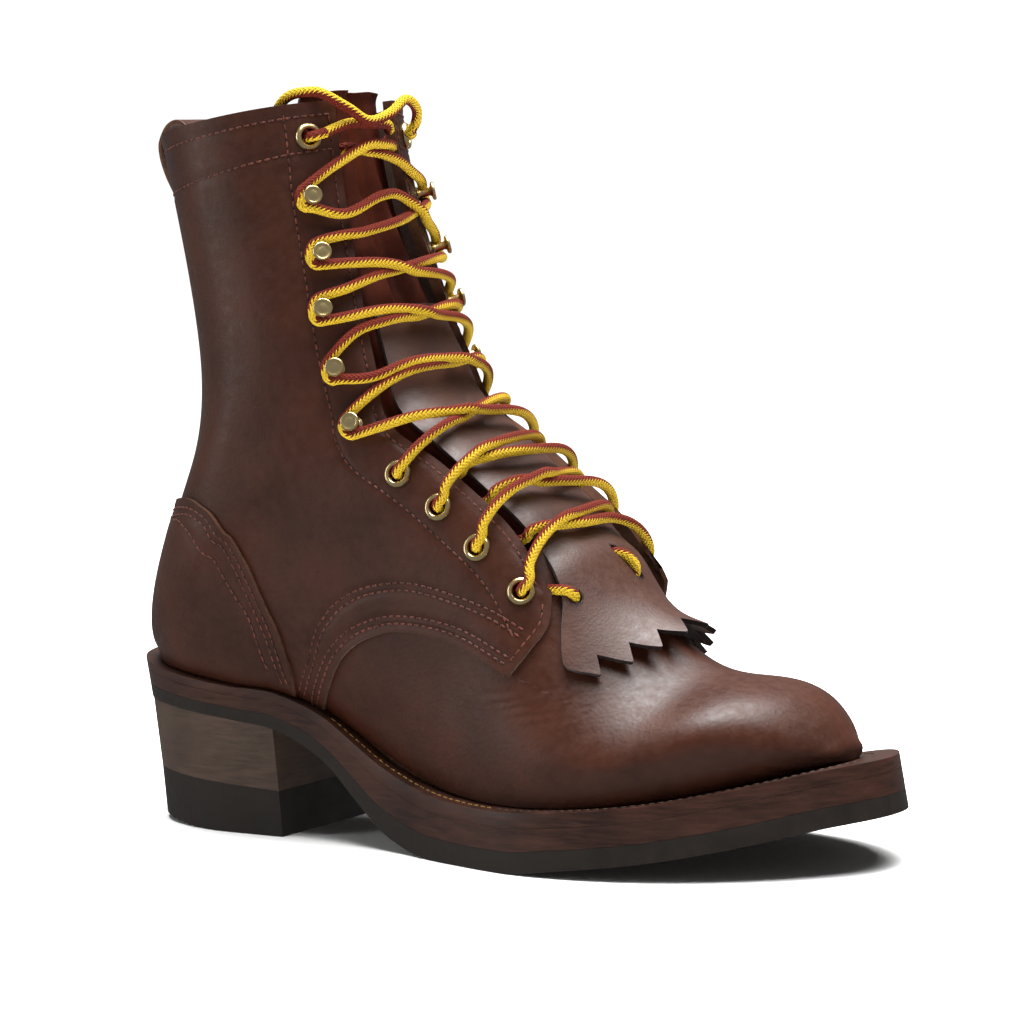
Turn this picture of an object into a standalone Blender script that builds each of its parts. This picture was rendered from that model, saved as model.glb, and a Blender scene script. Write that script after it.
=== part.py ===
"""Right packer boot, standing on its sole.

Frame: +X to the toe, +Y to the boot's left (its inner side), +Z up, floor at z = 0.
Tables and sizes are in millimetres; to_metres() turns them into Blender units.
"""
import bmesh
import bpy
import numpy as np
from mathutils import Matrix, Vector
from mathutils.bvhtree import BVHTree

# Driving sizes, millimetres
SOLE_LENGTH = 306.0
CENTRE_SHIFT = (-0.7, -0.1)      # moves the finished box over the origin
FIT_GAP = 0.3                    # between neighbouring solids
BACKED_GAP = 0.6                 # overlay to the curved wall it lies on
STRIP_GAP = 1.4                  # counter and back strip to the upper's faceted wall
SEAT_GAP = 0.75                  # upper over the welt
WALL = 2.2                       # upper wall
QUARTER_STEP = 1.6               # leather of the quarters, lapped over the vamp
OUTSOLE_SHARE = 0.365            # of the sole's thickness
MIDSOLE_SHARE = 0.75             # top of the midsole
BREAST_X = -73.5                 # front of the heel
LIFT_HEIGHT = 16.8               # rubber lift at the breast
LIFT_RISE = 4.2                  # its top rises this much to the back
HEEL_ROLL = 4.0                  # lift's underside is rolled up at the back by this much
HEEL_FLAT_END = -106.0           # and flat in front of this x
INSOLE = 3.0
INSOLE_MARGIN = 5.2              # to the inside of the upper's wall at its foot
TONGUE = 2.2
KILTIE = 1.8
LACE_RADIUS = 2.0
EYELET_RADIUS = 5.0
EYELET_HOLE = 2.6
HOOK_HEAD = 3.4
HOOK_STEM = 1.5
GROOVE_DEPTH = 2.2
GROOVE_WIDTH = 4.0

# Sole edge in plan: share of the length from the toe, half width outside, half width inside
OUTLINE = [
    (0.00, -9.0, 9.0),
    (0.04, 14.0, 32.0),
    (0.10, 29.5, 43.5),
    (0.18, 43.0, 50.5),
    (0.27, 51.5, 53.5),
    (0.36, 53.5, 52.0),
    (0.46, 48.0, 44.5),
    (0.56, 40.0, 35.0),
    (0.66, 36.5, 31.0),
    (0.76, 37.0, 33.5),
    (0.86, 36.5, 35.0),
    (0.94, 28.5, 27.5),
    (1.00, 0.0, 0.0),
]
# Trim of the sole edge: share of the length, set-back at the underside, set-back at the welt
TRIM = [(0.0, -2.6, 0.0), (0.2, -1.4, 0.0), (0.5, 0.0, 0.0), (0.8, 0.3, -0.8), (1.0, 0.6, -1.2)]
# Heights along the sole: x, underside of the outsole, top of the welt
HEIGHTS = [
    (-156, 47.2, 62.2),
    (-120, 44.8, 57.8),
    (-90, 42.0, 54.4),
    (-72, 39.6, 53.2),
    (-60, 34.8, 49.8),
    (-48, 27.6, 44.8),
    (-36, 16.8, 37.6),
    (-24, 7.2, 30.8),
    (-12, 2.2, 26.2),
    (0, 0.0, 23.2),
    (14, 0.0, 21.5),
    (40, 0.0, 21.0),
    (60, 2.6, 22.1),
    (93, 6.8, 25.7),
    (125, 12.8, 32.0),
    (142, 16.6, 35.6),
    (157, 18.8, 37.6),
]
# Foot of the upper: share of the length, set-back from the sole edge
FEATHER = [
    (0.00, 14.0),
    (0.06, 11.5),
    (0.18, 8.5),
    (0.36, 7.0),
    (0.50, 6.0),
    (0.66, 4.5),
    (0.80, 4.2),
    (0.94, 4.8),
    (1.00, 5.5),
]
# Sections of the last, toe to heel: ridge x, ridge z, share of the length where it meets the welt, ridge y,
# half width outside and inside, place of the widest point, fullness above it and below it
FOOT_SECTIONS = [
    (139.0, 36.4, 0.000, 9.0, 0.01, 0.01, 0.60, 2.0, 2.0),
    (138.6, 40.0, 0.012, 9.0, 8.6, 8.0, 0.55, 2.0, 2.2),
    (136.0, 44.0, 0.035, 9.0, 16.2, 12.0, 0.60, 1.8, 2.3),
    (131.0, 50.0, 0.070, 8.5, 25.4, 21.0, 0.62, 1.95, 2.4),
    (121.8, 56.8, 0.120, 7.5, 35.2, 30.0, 0.64, 2.3, 2.4),
    (108.5, 61.0, 0.180, 6.0, 43.2, 38.0, 0.66, 2.4, 2.4),
    (90.5, 64.0, 0.260, 4.0, 49.2, 43.0, 0.70, 1.6, 2.4),
    (71.5, 75.5, 0.350, 2.0, 50.5, 45.0, 0.72, 1.7, 2.3),
    (53.5, 95.0, 0.440, 1.0, 47.0, 43.0, 0.72, 2.4, 2.3),
    (38.0, 117.0, 0.530, 0.5, 43.0, 40.5, 0.70, 3.4, 2.2),
    (23.0, 129.8, 0.620, 0.0, 41.0, 39.5, 0.66, 3.8, 2.2),
    (9.0, 140.7, 0.710, 0.0, 41.0, 39.8, 0.60, 3.8, 2.2),
    (-2.5, 150.3, 0.800, 0.0, 42.0, 41.0, 0.55, 3.6, 2.2),
    (-10.4, 157.4, 0.890, 0.0, 43.0, 42.0, 0.52, 3.3, 2.1),
    (-14.7, 163.2, 0.960, 0.0, 44.0, 43.4, 0.50, 3.1, 2.05),
    (-17.0, 169.0, 1.000, 0.0, 45.0, 44.5, 0.49, 3.0, 2.0),
]
# Sections of the shaft, heel to collar: front x and z, back x and z, half widths, widest point, fullness
SHAFT_SECTIONS = [
    (-21.8, 177.2, -145.2, 78.0, 45.5, 45.0, 0.48, 3.0, 2.0),
    (-26.6, 187.2, -133.8, 103.0, 46.0, 45.5, 0.47, 2.8, 2.0),
    (-31.2, 198.6, -119.0, 130.0, 46.0, 45.5, 0.47, 2.6, 2.0),
    (-36.0, 212.0, -113.5, 158.0, 45.5, 45.0, 0.48, 2.5, 2.0),
    (-41.3, 228.0, -116.0, 190.0, 45.0, 44.5, 0.49, 2.5, 2.0),
    (-44.8, 246.0, -121.5, 222.0, 45.0, 44.5, 0.50, 2.5, 2.0),
    (-46.2, 262.5, -128.0, 251.0, 45.0, 44.5, 0.50, 2.5, 2.0),
]
# Throat: section place, half gap between the quarters
THROAT = [(8.3, 30.5), (9.5, 30.2), (11.0, 30.8), (12.4, 32.6), (13.8, 31.0), (15.0, 29.2), (16.2, 27.4),
          (18.0, 23.6), (20.0, 18.6), (21.2, 16.6), (22.0, 16.6)]
# Front edge of the quarter, ridge to welt: grid share, section place, share down the section
QUARTER_EDGE = [
    (0.000, 8.30, 0.000),
    (0.250, 8.25, 0.275),
    (0.333, 8.00, 0.360),
    (0.417, 8.02, 0.470),
    (0.500, 8.10, 0.562),
    (0.583, 9.10, 0.580),
    (0.667, 9.95, 0.640),
    (0.750, 10.40, 0.715),
    (0.833, 10.60, 0.800),
    (0.917, 10.62, 0.900),
    (1.000, 10.60, 1.000),
]
THROAT_SHARE = 0.25              # grid share of the throat edge
# Outer counter: section place, share down the section of its upper edge
COUNTER_EDGE = [
    (11.00, 1.000),
    (11.10, 0.950),
    (11.40, 0.872),
    (11.70, 0.812),
    (12.20, 0.742),
    (13.00, 0.650),
    (13.80, 0.588),
    (14.50, 0.552),
    (15.10, 0.545),
    (15.65, 0.555),
    (16.10, 0.586),
    (16.45, 0.622),
    (16.90, 0.700),
    (17.25, 0.800),
    (17.45, 0.880),
    (17.55, 0.940),
]
# Fastenings on each side, collar to toe: kind, section place, arc from the ridge
FASTENINGS = [
    ("eyelet", 21.3, 29.0),
    ("hook", 20.2, 33.0),
    ("hook", 19.1, 35.0),
    ("hook", 17.9, 40.0),
    ("hook", 16.2, 43.0),
    ("hook", 13.8, 45.0),
    ("eyelet", 11.6, 46.0),
    ("eyelet", 10.5, 44.5),
    ("eyelet", 9.5, 45.5),
    ("eyelet", 8.55, 42.0),
]
# Lace between two fastenings: numbers of the upper and lower one on each side, added lift, then the two
# runs as points of section place and arc from the ridge, outside negative
CROSSINGS = [
    (0, 1, 0.0, [(20.7, -21), (20.95, -8), (21.0, 4), (21.0, 12.5)],
     [(20.5, 22), (20.7, 10), (20.9, -4), (21.0, -12.5)]),
    (1, 2, 0.0, [(19.7, -22), (19.95, -5), (19.95, 6), (19.55, 20)],
     [(19.75, 23), (19.4, 2), (19.25, -16), (19.3, -26)]),
    (2, 3, 0.0, [(18.6, -24), (18.4, -13), (18.1, 0), (18.05, 20)],
     [(18.55, 20), (18.3, 2), (18.15, -18), (18.1, -30)]),
    (3, 4, 0.0, [(17.3, -30), (17.0, -12), (16.7, 2), (16.6, 22)],
     [(17.2, 22), (16.8, -2), (16.8, -20), (16.85, -32)]),
    (4, 5, 0.0, [(15.2, -32), (15.1, -18), (14.9, 2), (14.6, 24)],
     [(15.2, 26), (14.8, 0), (14.8, -22), (14.65, -34)]),
    (5, 6, 0.0, [(12.6, -33), (12.0, -15), (11.9, 2), (11.75, 24), (11.65, 37)],
     [(12.7, 28), (12.1, -2), (11.8, -20), (11.65, -37)]),
    (6, 7, 0.5, [(10.6, -36), (10.75, -19), (10.9, 2), (11.05, 24)],
     [(10.45, 36), (10.5, 12), (10.55, -10), (10.75, -25)]),
    (7, 8, 0.4, [(9.6, -37), (9.7, -24), (9.75, -4), (9.9, 24)],
     [(9.4, 37), (9.55, 8), (9.8, -12), (9.95, -25)]),
    (8, 9, -0.4, [(8.7, -34), (8.85, -22), (8.95, -2), (9.1, 24)],
     [(8.65, 34), (8.8, 14), (8.8, -6), (9.0, -25)]),
]
# Free ends of the lace: section place, arc from the ridge, distance off the last, rise
END_FROM_OUTSIDE = [
    (21.33, -23.7, 2.9, 0),
    (21.5, -14, 3.2, -0.5),
    (21.5, -4, 3.8, -1),
    (21.5, 6, 3.2, -1),
    (21.4, 12, 0.2, -1),
]
END_FROM_INSIDE = [
    (21.33, 23.7, 2.9, 0),
    (21.7, 20, 6.5, 0.5),
    (21.85, 12, 9.0, 0.5),
    (21.7, 2, 8.9, -1.5),
    (21.7, -8, 8.6, -1.5),
    (21.85, -17, 6.5, 1.0),
    (22.0, -25, 1.5, 3.4),
    (22.0, -32, -6.0, 3.6),
    (22.0, -37, -10.5, 0.5),
    (22.0, -39, -13.0, -5),
    (22.0, -39, -14.0, -13),
]
# Kiltie: section place, half width along the section, distance of its underside off the last
KILTIE_SHAPE = [
    (6.6, 37.0, 1.0),
    (7.1, 41.0, 0.7),
    (7.5, 43.0, 0.5),
    (7.8, 37.0, 0.3),
    (8.05, 28.5, 0.2),
    (8.35, 27.0, -0.2),
    (8.7, 26.5, -3.2),
    (9.2, 26.5, -3.9),
    (11.0, 27.0, -3.9),
    (13.0, 28.5, -3.9),
    (15.0, 25.5, -3.9),
    (17.3, 20.0, -3.9),
]
FRINGE_TEETH = 8
FRINGE_DEPTH = 0.36              # of a section place
FRINGE_SWEEP = 0.55              # set-back of the outer teeth, of a section place
TONGUE_LAP = 10.0                # under each quarter
TONGUE_START = 7.6
TONGUE_GAP = 1.9                 # under the upper's wall
TONGUE_RISE = 4.0                # over the collar
BACKSTAY_HALF = 8.0
BACKSTAY_LEATHER = 1.2
COUNTER_LEATHER = 1.4
# Pull loop, outside to inside: distance off the back seam, height over the collar's back
PULL_LOOP = [
    (2.0, -30.0),
    (4.8, -22.0),
    (8.4, -11.0),
    (8.6, -2.0),
    (4.6, 5.2),
    (-1.2, 6.4),
    (-5.8, 0.6),
    (-7.0, -10.0),
    (-7.2, -20.0),
]
LOOP_CLEARANCE = 1.2
LOOP_WIDTH = 17.0
LOOP_LEATHER = 1.6


def smooth(places, values, at):
    """Smooth curve through table values, read at the places given."""
    places = np.asarray(places, float)
    values = np.asarray(values, float)
    columns = values.reshape(len(places), -1)
    at = np.clip(np.asarray(at, float), places[0], places[-1])
    slope = np.gradient(columns, places, axis=0)
    i = np.clip(np.searchsorted(places, at, side="right") - 1, 0, len(places) - 2)
    step = (places[i + 1] - places[i])[..., None]
    t = (at - places[i])[..., None] / step
    result = columns[i] * (2 * t**3 - 3 * t**2 + 1) + slope[i] * step * (t**3 - 2 * t**2 + t)
    result = result + columns[i + 1] * (3 * t**2 - 2 * t**3) + slope[i + 1] * step * (t**3 - t**2)
    return result[..., 0] if values.ndim == 1 else result


def column(table, *numbers):
    """Columns of a table as arrays, the first column first."""
    rows = np.array(table, float)
    return rows[:, 0], rows[:, list(numbers)] if len(numbers) > 1 else rows[:, numbers[0]]


def straight(table, at):
    """The second and third columns of a table at a place in its first column, with corners kept."""
    places, values = column(table, 1, 2)
    return [np.interp(at, places, values[:, k]) for k in range(2)]


def turn(share):
    """Share of the length as an angle share, so that the ends of the outline are round."""
    return np.arccos(1 - 2 * np.clip(np.asarray(share, float), 0, 1)) / np.pi


def outline_point(angle, side):
    """Plan point of the sole edge; side -1 is outside, +1 inside."""
    shares, half = column(OUTLINE, 1 if side < 0 else 2)
    x = SOLE_LENGTH * np.cos(np.pi * angle) / 2
    y = side * smooth(turn(shares), half, angle)
    return np.stack([x, y], -1)


def sole_edge(share, side, setback):
    """Plan point of the sole edge, moved inwards by the set-back."""
    angle = turn(share)
    near = 0.001
    ahead = outline_point(np.clip(angle + near, 0, 1), side)
    along = ahead - outline_point(np.clip(angle - near, 0, 1), side)
    along = along / np.linalg.norm(along, axis=-1, keepdims=True)
    inward = np.stack([along[..., 1], -along[..., 0]], -1) * -side
    return outline_point(angle, side) + inward * np.asarray(setback, float)[..., None]


def underside(x):
    return np.maximum(smooth(*column(HEIGHTS, 1), x), 0.0)


def welt_top(x):
    return smooth(*column(HEIGHTS, 2), x)


def feather_point(share, side):
    """Where the upper meets the welt."""
    plan = sole_edge(share, side, smooth(*column(FEATHER, 1), share))
    return np.array([*plan, welt_top(plan[0]) + FIT_GAP])


def section_rows():
    """Every section as ridge, outside foot, inside foot, half widths, widest place and fullness."""
    rows = []
    for x, z, share, y, outside, inside, widest, above, below in FOOT_SECTIONS:
        outer = feather_point(share, -1)
        inner = feather_point(share, 1)
        if share in (0.0, 1.0):
            outer = inner = (outer + inner) / 2
        rows.append([x, y, z, *outer, *inner, outside, inside, widest, above, below])
    for x, z, back_x, back_z, outside, inside, widest, above, below in SHAFT_SECTIONS:
        back = [back_x, 0.0, back_z]
        rows.append([x, 0.0, z, *back, *back, outside, inside, widest, above, below])
    return np.array(rows)


ROWS = section_rows()
COLLAR = len(ROWS) - 1.0
HEEL_TOP = 16.0                  # section place of the first section that is closed at the back
FINE_ROWS = 10
FINE_SHARES = 81


def half_section(row, side):
    """Half a section, ridge to foot, as points evenly spaced along its arc."""
    ridge = row[0:3]
    foot = row[3:6] if side < 0 else row[6:9]
    half = row[9] if side < 0 else row[10]
    widest, above, below = row[11:14]
    down = np.array([foot[0] - ridge[0], 0.0, foot[2] - ridge[2]])
    tuck = np.arccos(np.clip((foot[1] - ridge[1]) * side / half, 0, 1) ** (below / 2))
    upper_arc = np.linspace(0, np.pi / 2, 120)
    lower_arc = np.linspace(0, max(tuck, 1e-4), 120)[1:]
    depth = widest * (1 - np.cos(upper_arc).clip(0) ** (2 / above))
    reach = np.sin(upper_arc) ** (2 / above)
    lower = np.sin(lower_arc) ** (2 / below)
    depth = np.concatenate([depth, widest + (1 - widest) * lower / lower[-1]])
    reach = np.concatenate([reach, np.cos(lower_arc).clip(0) ** (2 / below)])
    points = ridge + depth[:, None] * down + np.outer(reach * half * side, [0, 1, 0])
    run = np.concatenate([[0], np.cumsum(np.linalg.norm(np.diff(points, axis=0), axis=1))])
    even = np.linspace(0, run[-1], FINE_SHARES)
    return np.stack([np.interp(even, run, points[:, k]) for k in range(3)], -1), run[-1]


def last_surface(side):
    """Points, outward normals and arc lengths of one half of the last."""
    places = np.linspace(0, COLLAR, int(COLLAR * FINE_ROWS) + 1)
    halves = [half_section(row, side) for row in smooth(np.arange(len(ROWS)), ROWS, places)]
    points = np.array([half[0] for half in halves])
    lengths = np.array([half[1] for half in halves])
    across = np.gradient(points, axis=1)
    along = np.gradient(points, axis=0)
    normals = np.cross(across, along) * side
    size = np.linalg.norm(normals, axis=2, keepdims=True)
    normals = normals / np.maximum(size, 1e-9)
    normals[0] = normals[1]
    return places, points, normals, lengths


LAST = {side: last_surface(side) for side in (-1, 1)}


def on_last(place, share, side, offset=0.0):
    """Point on the last at a section place and a share down the section, moved out by the offset."""
    places, points, normals, _ = LAST[side]
    row = np.clip(place * FINE_ROWS, 0, len(places) - 1.000001)
    col = np.clip(share * (FINE_SHARES - 1), 0, FINE_SHARES - 1.000001)
    i, j = int(row), int(col)
    a, b = row - i, col - j
    weights = [(i, j, (1 - a) * (1 - b)), (i + 1, j, a * (1 - b))]
    weights += [(i, j + 1, (1 - a) * b), (i + 1, j + 1, a * b)]
    point = sum(points[p, q] * w for p, q, w in weights)
    normal = sum(normals[p, q] * w for p, q, w in weights)
    if share < 1e-6:
        normal = normal * [1, 0, 1]
    return point + normal / np.linalg.norm(normal) * offset


def normal_at(place, share, side):
    return on_last(place, share, side, 1.0) - on_last(place, share, side, 0.0)


def arc_share(place, side, distance):
    """Share down a section of a point at an arc distance from its ridge."""
    places, _, _, lengths = LAST[side]
    return distance / np.interp(place, places, lengths)


def throat_share(place, side):
    """Share down a section of the throat edge, from the half gap."""
    _, points, _, _ = LAST[side]
    row = points[int(round(place * FINE_ROWS))]
    gap = smooth(*column(THROAT, 1), place)
    return np.interp(gap, np.abs(row[:, 1] - row[0, 1])[:45], np.linspace(0, 1, FINE_SHARES)[:45])


def wall_outside(place):
    """Offset of the upper's own wall: it dips under the quarter's leather."""
    return -QUARTER_STEP * np.interp(place, [6.5, 9.0], [0.0, 1.0])


def to_metres(point):
    x, y, z = point
    return Vector(((x + CENTRE_SHIFT[0]) / 1000, (y + CENTRE_SHIFT[1]) / 1000, z / 1000))


# Blender helpers

def remove_everything():
    for thing in list(bpy.data.objects):
        bpy.data.objects.remove(thing, do_unlink=True)


def make_collection(name):
    collection = bpy.data.collections.new(name)
    bpy.context.scene.collection.children.link(collection)
    return collection


def make_material(name, colour, roughness, metallic=0.0):
    material = bpy.data.materials.new(name)
    material.use_nodes = True
    shader = material.node_tree.nodes["Principled BSDF"]
    shader.inputs["Base Color"].default_value = (*colour, 1.0)
    shader.inputs["Roughness"].default_value = roughness
    shader.inputs["Metallic"].default_value = metallic
    material.diffuse_color = (*colour, 1.0)
    return material


remove_everything()
BOOT = make_collection("packer_boot")
CUTTERS = make_collection("packer_boot_cutters")
BROWN = make_material("brown_leather", (0.055, 0.022, 0.015), 0.42)
EDGE = make_material("sole_leather", (0.050, 0.020, 0.012), 0.38)
TAN = make_material("insole_leather", (0.32, 0.19, 0.10), 0.7)
RUBBER = make_material("black_rubber", (0.012, 0.011, 0.011), 0.6)
BRASS = make_material("brass", (0.72, 0.55, 0.27), 0.25, 1.0)
LACE = make_material("braided_lace", (0.62, 0.38, 0.08), 0.8)


def finish(name, mesh_builder, material, collection=BOOT):
    """Turn a bmesh into a smooth shaded object of the boot."""
    mesh = bpy.data.meshes.new(name)
    mesh_builder.to_mesh(mesh)
    mesh_builder.free()
    mesh.materials.append(material)
    mesh.shade_smooth()
    mesh.set_sharp_from_angle(angle=np.radians(40))
    thing = bpy.data.objects.new(name, mesh)
    collection.objects.link(thing)
    return thing


def slab(along, across, place, drop=None, weld=None):
    """A grid given thickness and laid out by place(a, b, level), with a, b and level from 0 to 1.

    drop(a, b) says which faces of the grid are left out, and weld lists the pairs of vertices to join.
    """
    grid = bmesh.new()
    bmesh.ops.create_grid(grid, x_segments=along, y_segments=across, size=0.5)
    bmesh.ops.translate(grid, verts=grid.verts, vec=(0.5, 0.5, 0.0))
    if drop:
        gone = [face for face in grid.faces if drop(*face.calc_center_median()[:2])]
        bmesh.ops.delete(grid, geom=gone, context="FACES")
    if weld:
        bmesh.ops.weld_verts(grid, targetmap=weld(grid.verts))
    raised = bmesh.ops.extrude_face_region(grid, geom=grid.faces[:])["geom"]
    raised = [item for item in raised if isinstance(item, bmesh.types.BMVert)]
    bmesh.ops.translate(grid, verts=raised, vec=(0.0, 0.0, 1.0))
    for vertex in grid.verts:
        vertex.co = to_metres(place(*vertex.co))
    bmesh.ops.remove_doubles(grid, verts=grid.verts, dist=1e-6)
    bmesh.ops.dissolve_degenerate(grid, edges=grid.edges, dist=1e-7)
    bmesh.ops.recalc_face_normals(grid, faces=grid.faces)
    return grid


# Sole

SOLE_STATIONS = 36
HEEL_STATIONS = 12


def sole_layer(low, high):
    """Placing function of one layer of the sole, between two shares of its thickness."""
    def place(a, b, level):
        share = (1 - np.cos(np.pi * a)) / 2
        height = low + (high - low) * level
        trim = smooth(*column(TRIM, 1, 2), share)
        setback = trim[0] + (trim[1] - trim[0]) * height
        edges = [sole_edge(share, side, setback) for side in (-1, 1)]
        if a in (0.0, 1.0):
            edges = [(edges[0] + edges[1]) / 2] * 2
        x, y = edges[0] + (edges[1] - edges[0]) * b
        z = underside(x) + (welt_top(x) - underside(x)) * height
        return x, y, z - FIT_GAP * (level if high < 1 else 0)
    return place


def insole_place(a, b, level):
    share = (1 - np.cos(np.pi * a)) / 2
    setback = smooth(*column(FEATHER, 1), share) + WALL + INSOLE_MARGIN
    edges = [sole_edge(share, side, setback) for side in (-1, 1)]
    if a in (0.0, 1.0):
        edges = [(edges[0] + edges[1]) / 2] * 2
    x, y = edges[0] + (edges[1] - edges[0]) * b
    return x, y, welt_top(x) + BACKED_GAP + INSOLE * level


def lift_top(x):
    return LIFT_HEIGHT + LIFT_RISE * (BREAST_X - x) / (SOLE_LENGTH / 2 + BREAST_X)


def lift_underside(x):
    back = np.clip((HEEL_FLAT_END - x) / (SOLE_LENGTH / 2 + HEEL_FLAT_END), 0, 1.2)
    return HEEL_ROLL * back**1.5


def heel_block(bottom, top, bottom_setback, top_setback):
    """Placing function of a layer of the heel, between two heights over the floor."""
    breast = float(np.interp(BREAST_X, [-SOLE_LENGTH / 2, SOLE_LENGTH / 2], [1.0, 0.0]))

    def place(a, b, level):
        start, end = turn(breast), 1.0
        share = (1 - np.cos(np.pi * (start + (end - start) * a))) / 2
        setback = bottom_setback + (top_setback - bottom_setback) * level
        edges = [sole_edge(share, side, setback) for side in (-1, 1)]
        if a == 1.0:
            edges = [(edges[0] + edges[1]) / 2] * 2
        x, y = edges[0] + (edges[1] - edges[0]) * b
        return x, y, bottom(x) + (top(x) - bottom(x)) * level
    return place


def cut_grooves(outsole, places, half_length, depth):
    """Cross grooves in the tread: boxes set square to the underside, kept clear of the edge."""
    tool = bmesh.new()
    for x in places:
        slope = np.arctan2(underside(x + 3) - underside(x - 3), 6.0)
        centre = to_metres((x, half_length[x][1], underside(x)))
        box = bmesh.ops.create_cube(tool, size=1.0)["verts"]
        size = (GROOVE_WIDTH / 1000, half_length[x][0] / 1000, 2 * depth / 1000)
        bmesh.ops.scale(tool, verts=box, vec=size)
        bmesh.ops.rotate(tool, verts=box, matrix=Matrix.Rotation(-slope, 3, "Y"))
        bmesh.ops.translate(tool, verts=box, vec=centre)
    cutter = finish("groove_cutter", tool, RUBBER, CUTTERS)
    cutter.hide_render = True
    cutter.display_type = "WIRE"
    cut = outsole.modifiers.new("tread grooves", "BOOLEAN")
    cut.object = cutter
    cut.solver = "EXACT"


def groove_span(x):
    """Length and middle of a tread groove that stays clear of the sole edge."""
    share = 0.5 - x / SOLE_LENGTH
    outside = sole_edge(share, -1, 9.0)[1]
    inside = sole_edge(share, 1, 9.0)[1]
    return inside - outside, (inside + outside) / 2


def build_sole():
    outsole = finish("outsole", slab(SOLE_STATIONS, 2, sole_layer(0.0, OUTSOLE_SHARE)), RUBBER)
    grooves = [-2 + 13.0 * step for step in range(11)]
    cut_grooves(outsole, grooves, {x: groove_span(x) for x in grooves}, GROOVE_DEPTH)
    finish("midsole", slab(SOLE_STATIONS, 2, sole_layer(OUTSOLE_SHARE, MIDSOLE_SHARE)), EDGE)
    finish("welt", slab(SOLE_STATIONS, 2, sole_layer(MIDSOLE_SHARE, 1.0)), EDGE)
    stack = heel_block(lambda x: lift_top(x) + FIT_GAP, lambda x: underside(x) - BACKED_GAP, 2.9, 0.9)
    finish("heel_stack", slab(HEEL_STATIONS, 2, stack), EDGE)
    finish("heel_lift", slab(HEEL_STATIONS, 2, heel_block(lift_underside, lift_top, 3.9, 2.9)), RUBBER)
    finish("insole", slab(SOLE_STATIONS, 2, insole_place), TAN)


# Upper

VAMP_ROWS = 15
QUARTER_ROWS = 18
HALF_COLUMNS = 12


def upper_place(a, b, level):
    """The upper's wall: vamp rows, a step up to the quarters, and quarter rows to the collar."""
    row = a * (VAMP_ROWS + QUARTER_ROWS + 1)
    side = -1 if b < 0.5 else 1
    grid_share = abs(2 * b - 1)
    edge_place, edge_share = straight(QUARTER_EDGE, grid_share)
    if row < VAMP_ROWS + 0.5:
        part = row / VAMP_ROWS
        place = edge_place * part
        share = grid_share + (edge_share - grid_share) * part**2
        offset = wall_outside(place)
    else:
        part = (row - VAMP_ROWS - 1) / QUARTER_ROWS
        place = edge_place + (COLLAR - edge_place) * part
        throat = throat_share(place, side)
        even = throat + (1 - throat) * (grid_share - THROAT_SHARE) / (1 - THROAT_SHARE)
        share = edge_share + (even - edge_share) * np.clip(part * 2.5, 0, 1)
        if abs(grid_share - THROAT_SHARE) < 1e-6:
            share = throat
        offset = wall_outside(place) + QUARTER_STEP
    if level < 0.5:
        offset = wall_outside(place) - WALL
    x, y, z = on_last(place, min(share, 1.0), side, offset)
    return x, y, max(z, welt_top(x) + SEAT_GAP) if place < HEEL_TOP else z


def throat_opening(a, b):
    """Faces of the upper's grid that the throat leaves out."""
    row = a * (VAMP_ROWS + QUARTER_ROWS + 1)
    return row > VAMP_ROWS and abs(2 * b - 1) < THROAT_SHARE


def back_seam(vertices):
    """Vertices of the two back edges of the quarters, to be joined above the heel."""
    pairs = {}
    ends = {}
    for vertex in vertices:
        if min(vertex.co.y, 1 - vertex.co.y) < 1e-6:
            ends.setdefault(round(vertex.co.x, 5), []).append(vertex)
    for a, both in ends.items():
        row = a * (VAMP_ROWS + QUARTER_ROWS + 1)
        edge_place = QUARTER_EDGE[-1][1]
        place = edge_place + (COLLAR - edge_place) * (row - VAMP_ROWS - 1) / QUARTER_ROWS
        if row > VAMP_ROWS and place > HEEL_TOP - 1.0 and len(both) == 2:
            pairs[both[0]] = both[1]
    return pairs


def build_upper():
    columns = 2 * HALF_COLUMNS
    grid = slab(VAMP_ROWS + QUARTER_ROWS + 1, columns, upper_place, throat_opening, back_seam)
    return finish("upper", grid, BROWN)


def shell_place(share_of, offsets):
    """Placing function of a piece that lies on the last, from share_of(a, b) and offsets(place)."""
    def place(a, b, level):
        section, side, share = share_of(a, b)
        inner, outer = offsets(section)
        return on_last(section, share, side, inner + (outer - inner) * level)
    return place


def counter_share(a, b):
    crowded = (1 - np.cos(np.pi * a)) / 2
    section = COUNTER_EDGE[0][0] + (COUNTER_EDGE[-1][0] - COUNTER_EDGE[0][0]) * crowded
    places, edge = column(COUNTER_EDGE, 1)
    top = min(smooth(places, edge, section), 1.0)
    side = -1 if b < 0.5 else 1
    half = COUNTER_COLUMNS / (2 * COUNTER_COLUMNS + 1)
    down = b / half if side < 0 else (1 - b) / half
    return section, side, 1.0 - (1.0 - top) * down


COUNTER_ROWS = 22
COUNTER_COLUMNS = 7


def counter_offsets(section):
    low = wall_outside(section) + QUARTER_STEP + STRIP_GAP
    return low, low + COUNTER_LEATHER


def counter_seam(vertices):
    """Joins the two halves of the counter along the back of the heel."""
    pairs = {}
    ends = {}
    for vertex in vertices:
        if min(vertex.co.y, 1 - vertex.co.y) < 1e-6:
            ends.setdefault(round(vertex.co.x, 5), []).append(vertex)
    for a, both in ends.items():
        if counter_share(a, 0.0)[0] > HEEL_TOP - 1.0 and len(both) == 2:
            pairs[both[0]] = both[1]
    return pairs


def counter_place(a, b, level):
    x, y, z = shell_place(counter_share, counter_offsets)(a, b, level)
    return x, y, max(z, welt_top(x) + SEAT_GAP) if z < WELT_BACK else z


WELT_BACK = 66.0                 # above this height nothing of the counter meets the welt


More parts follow.
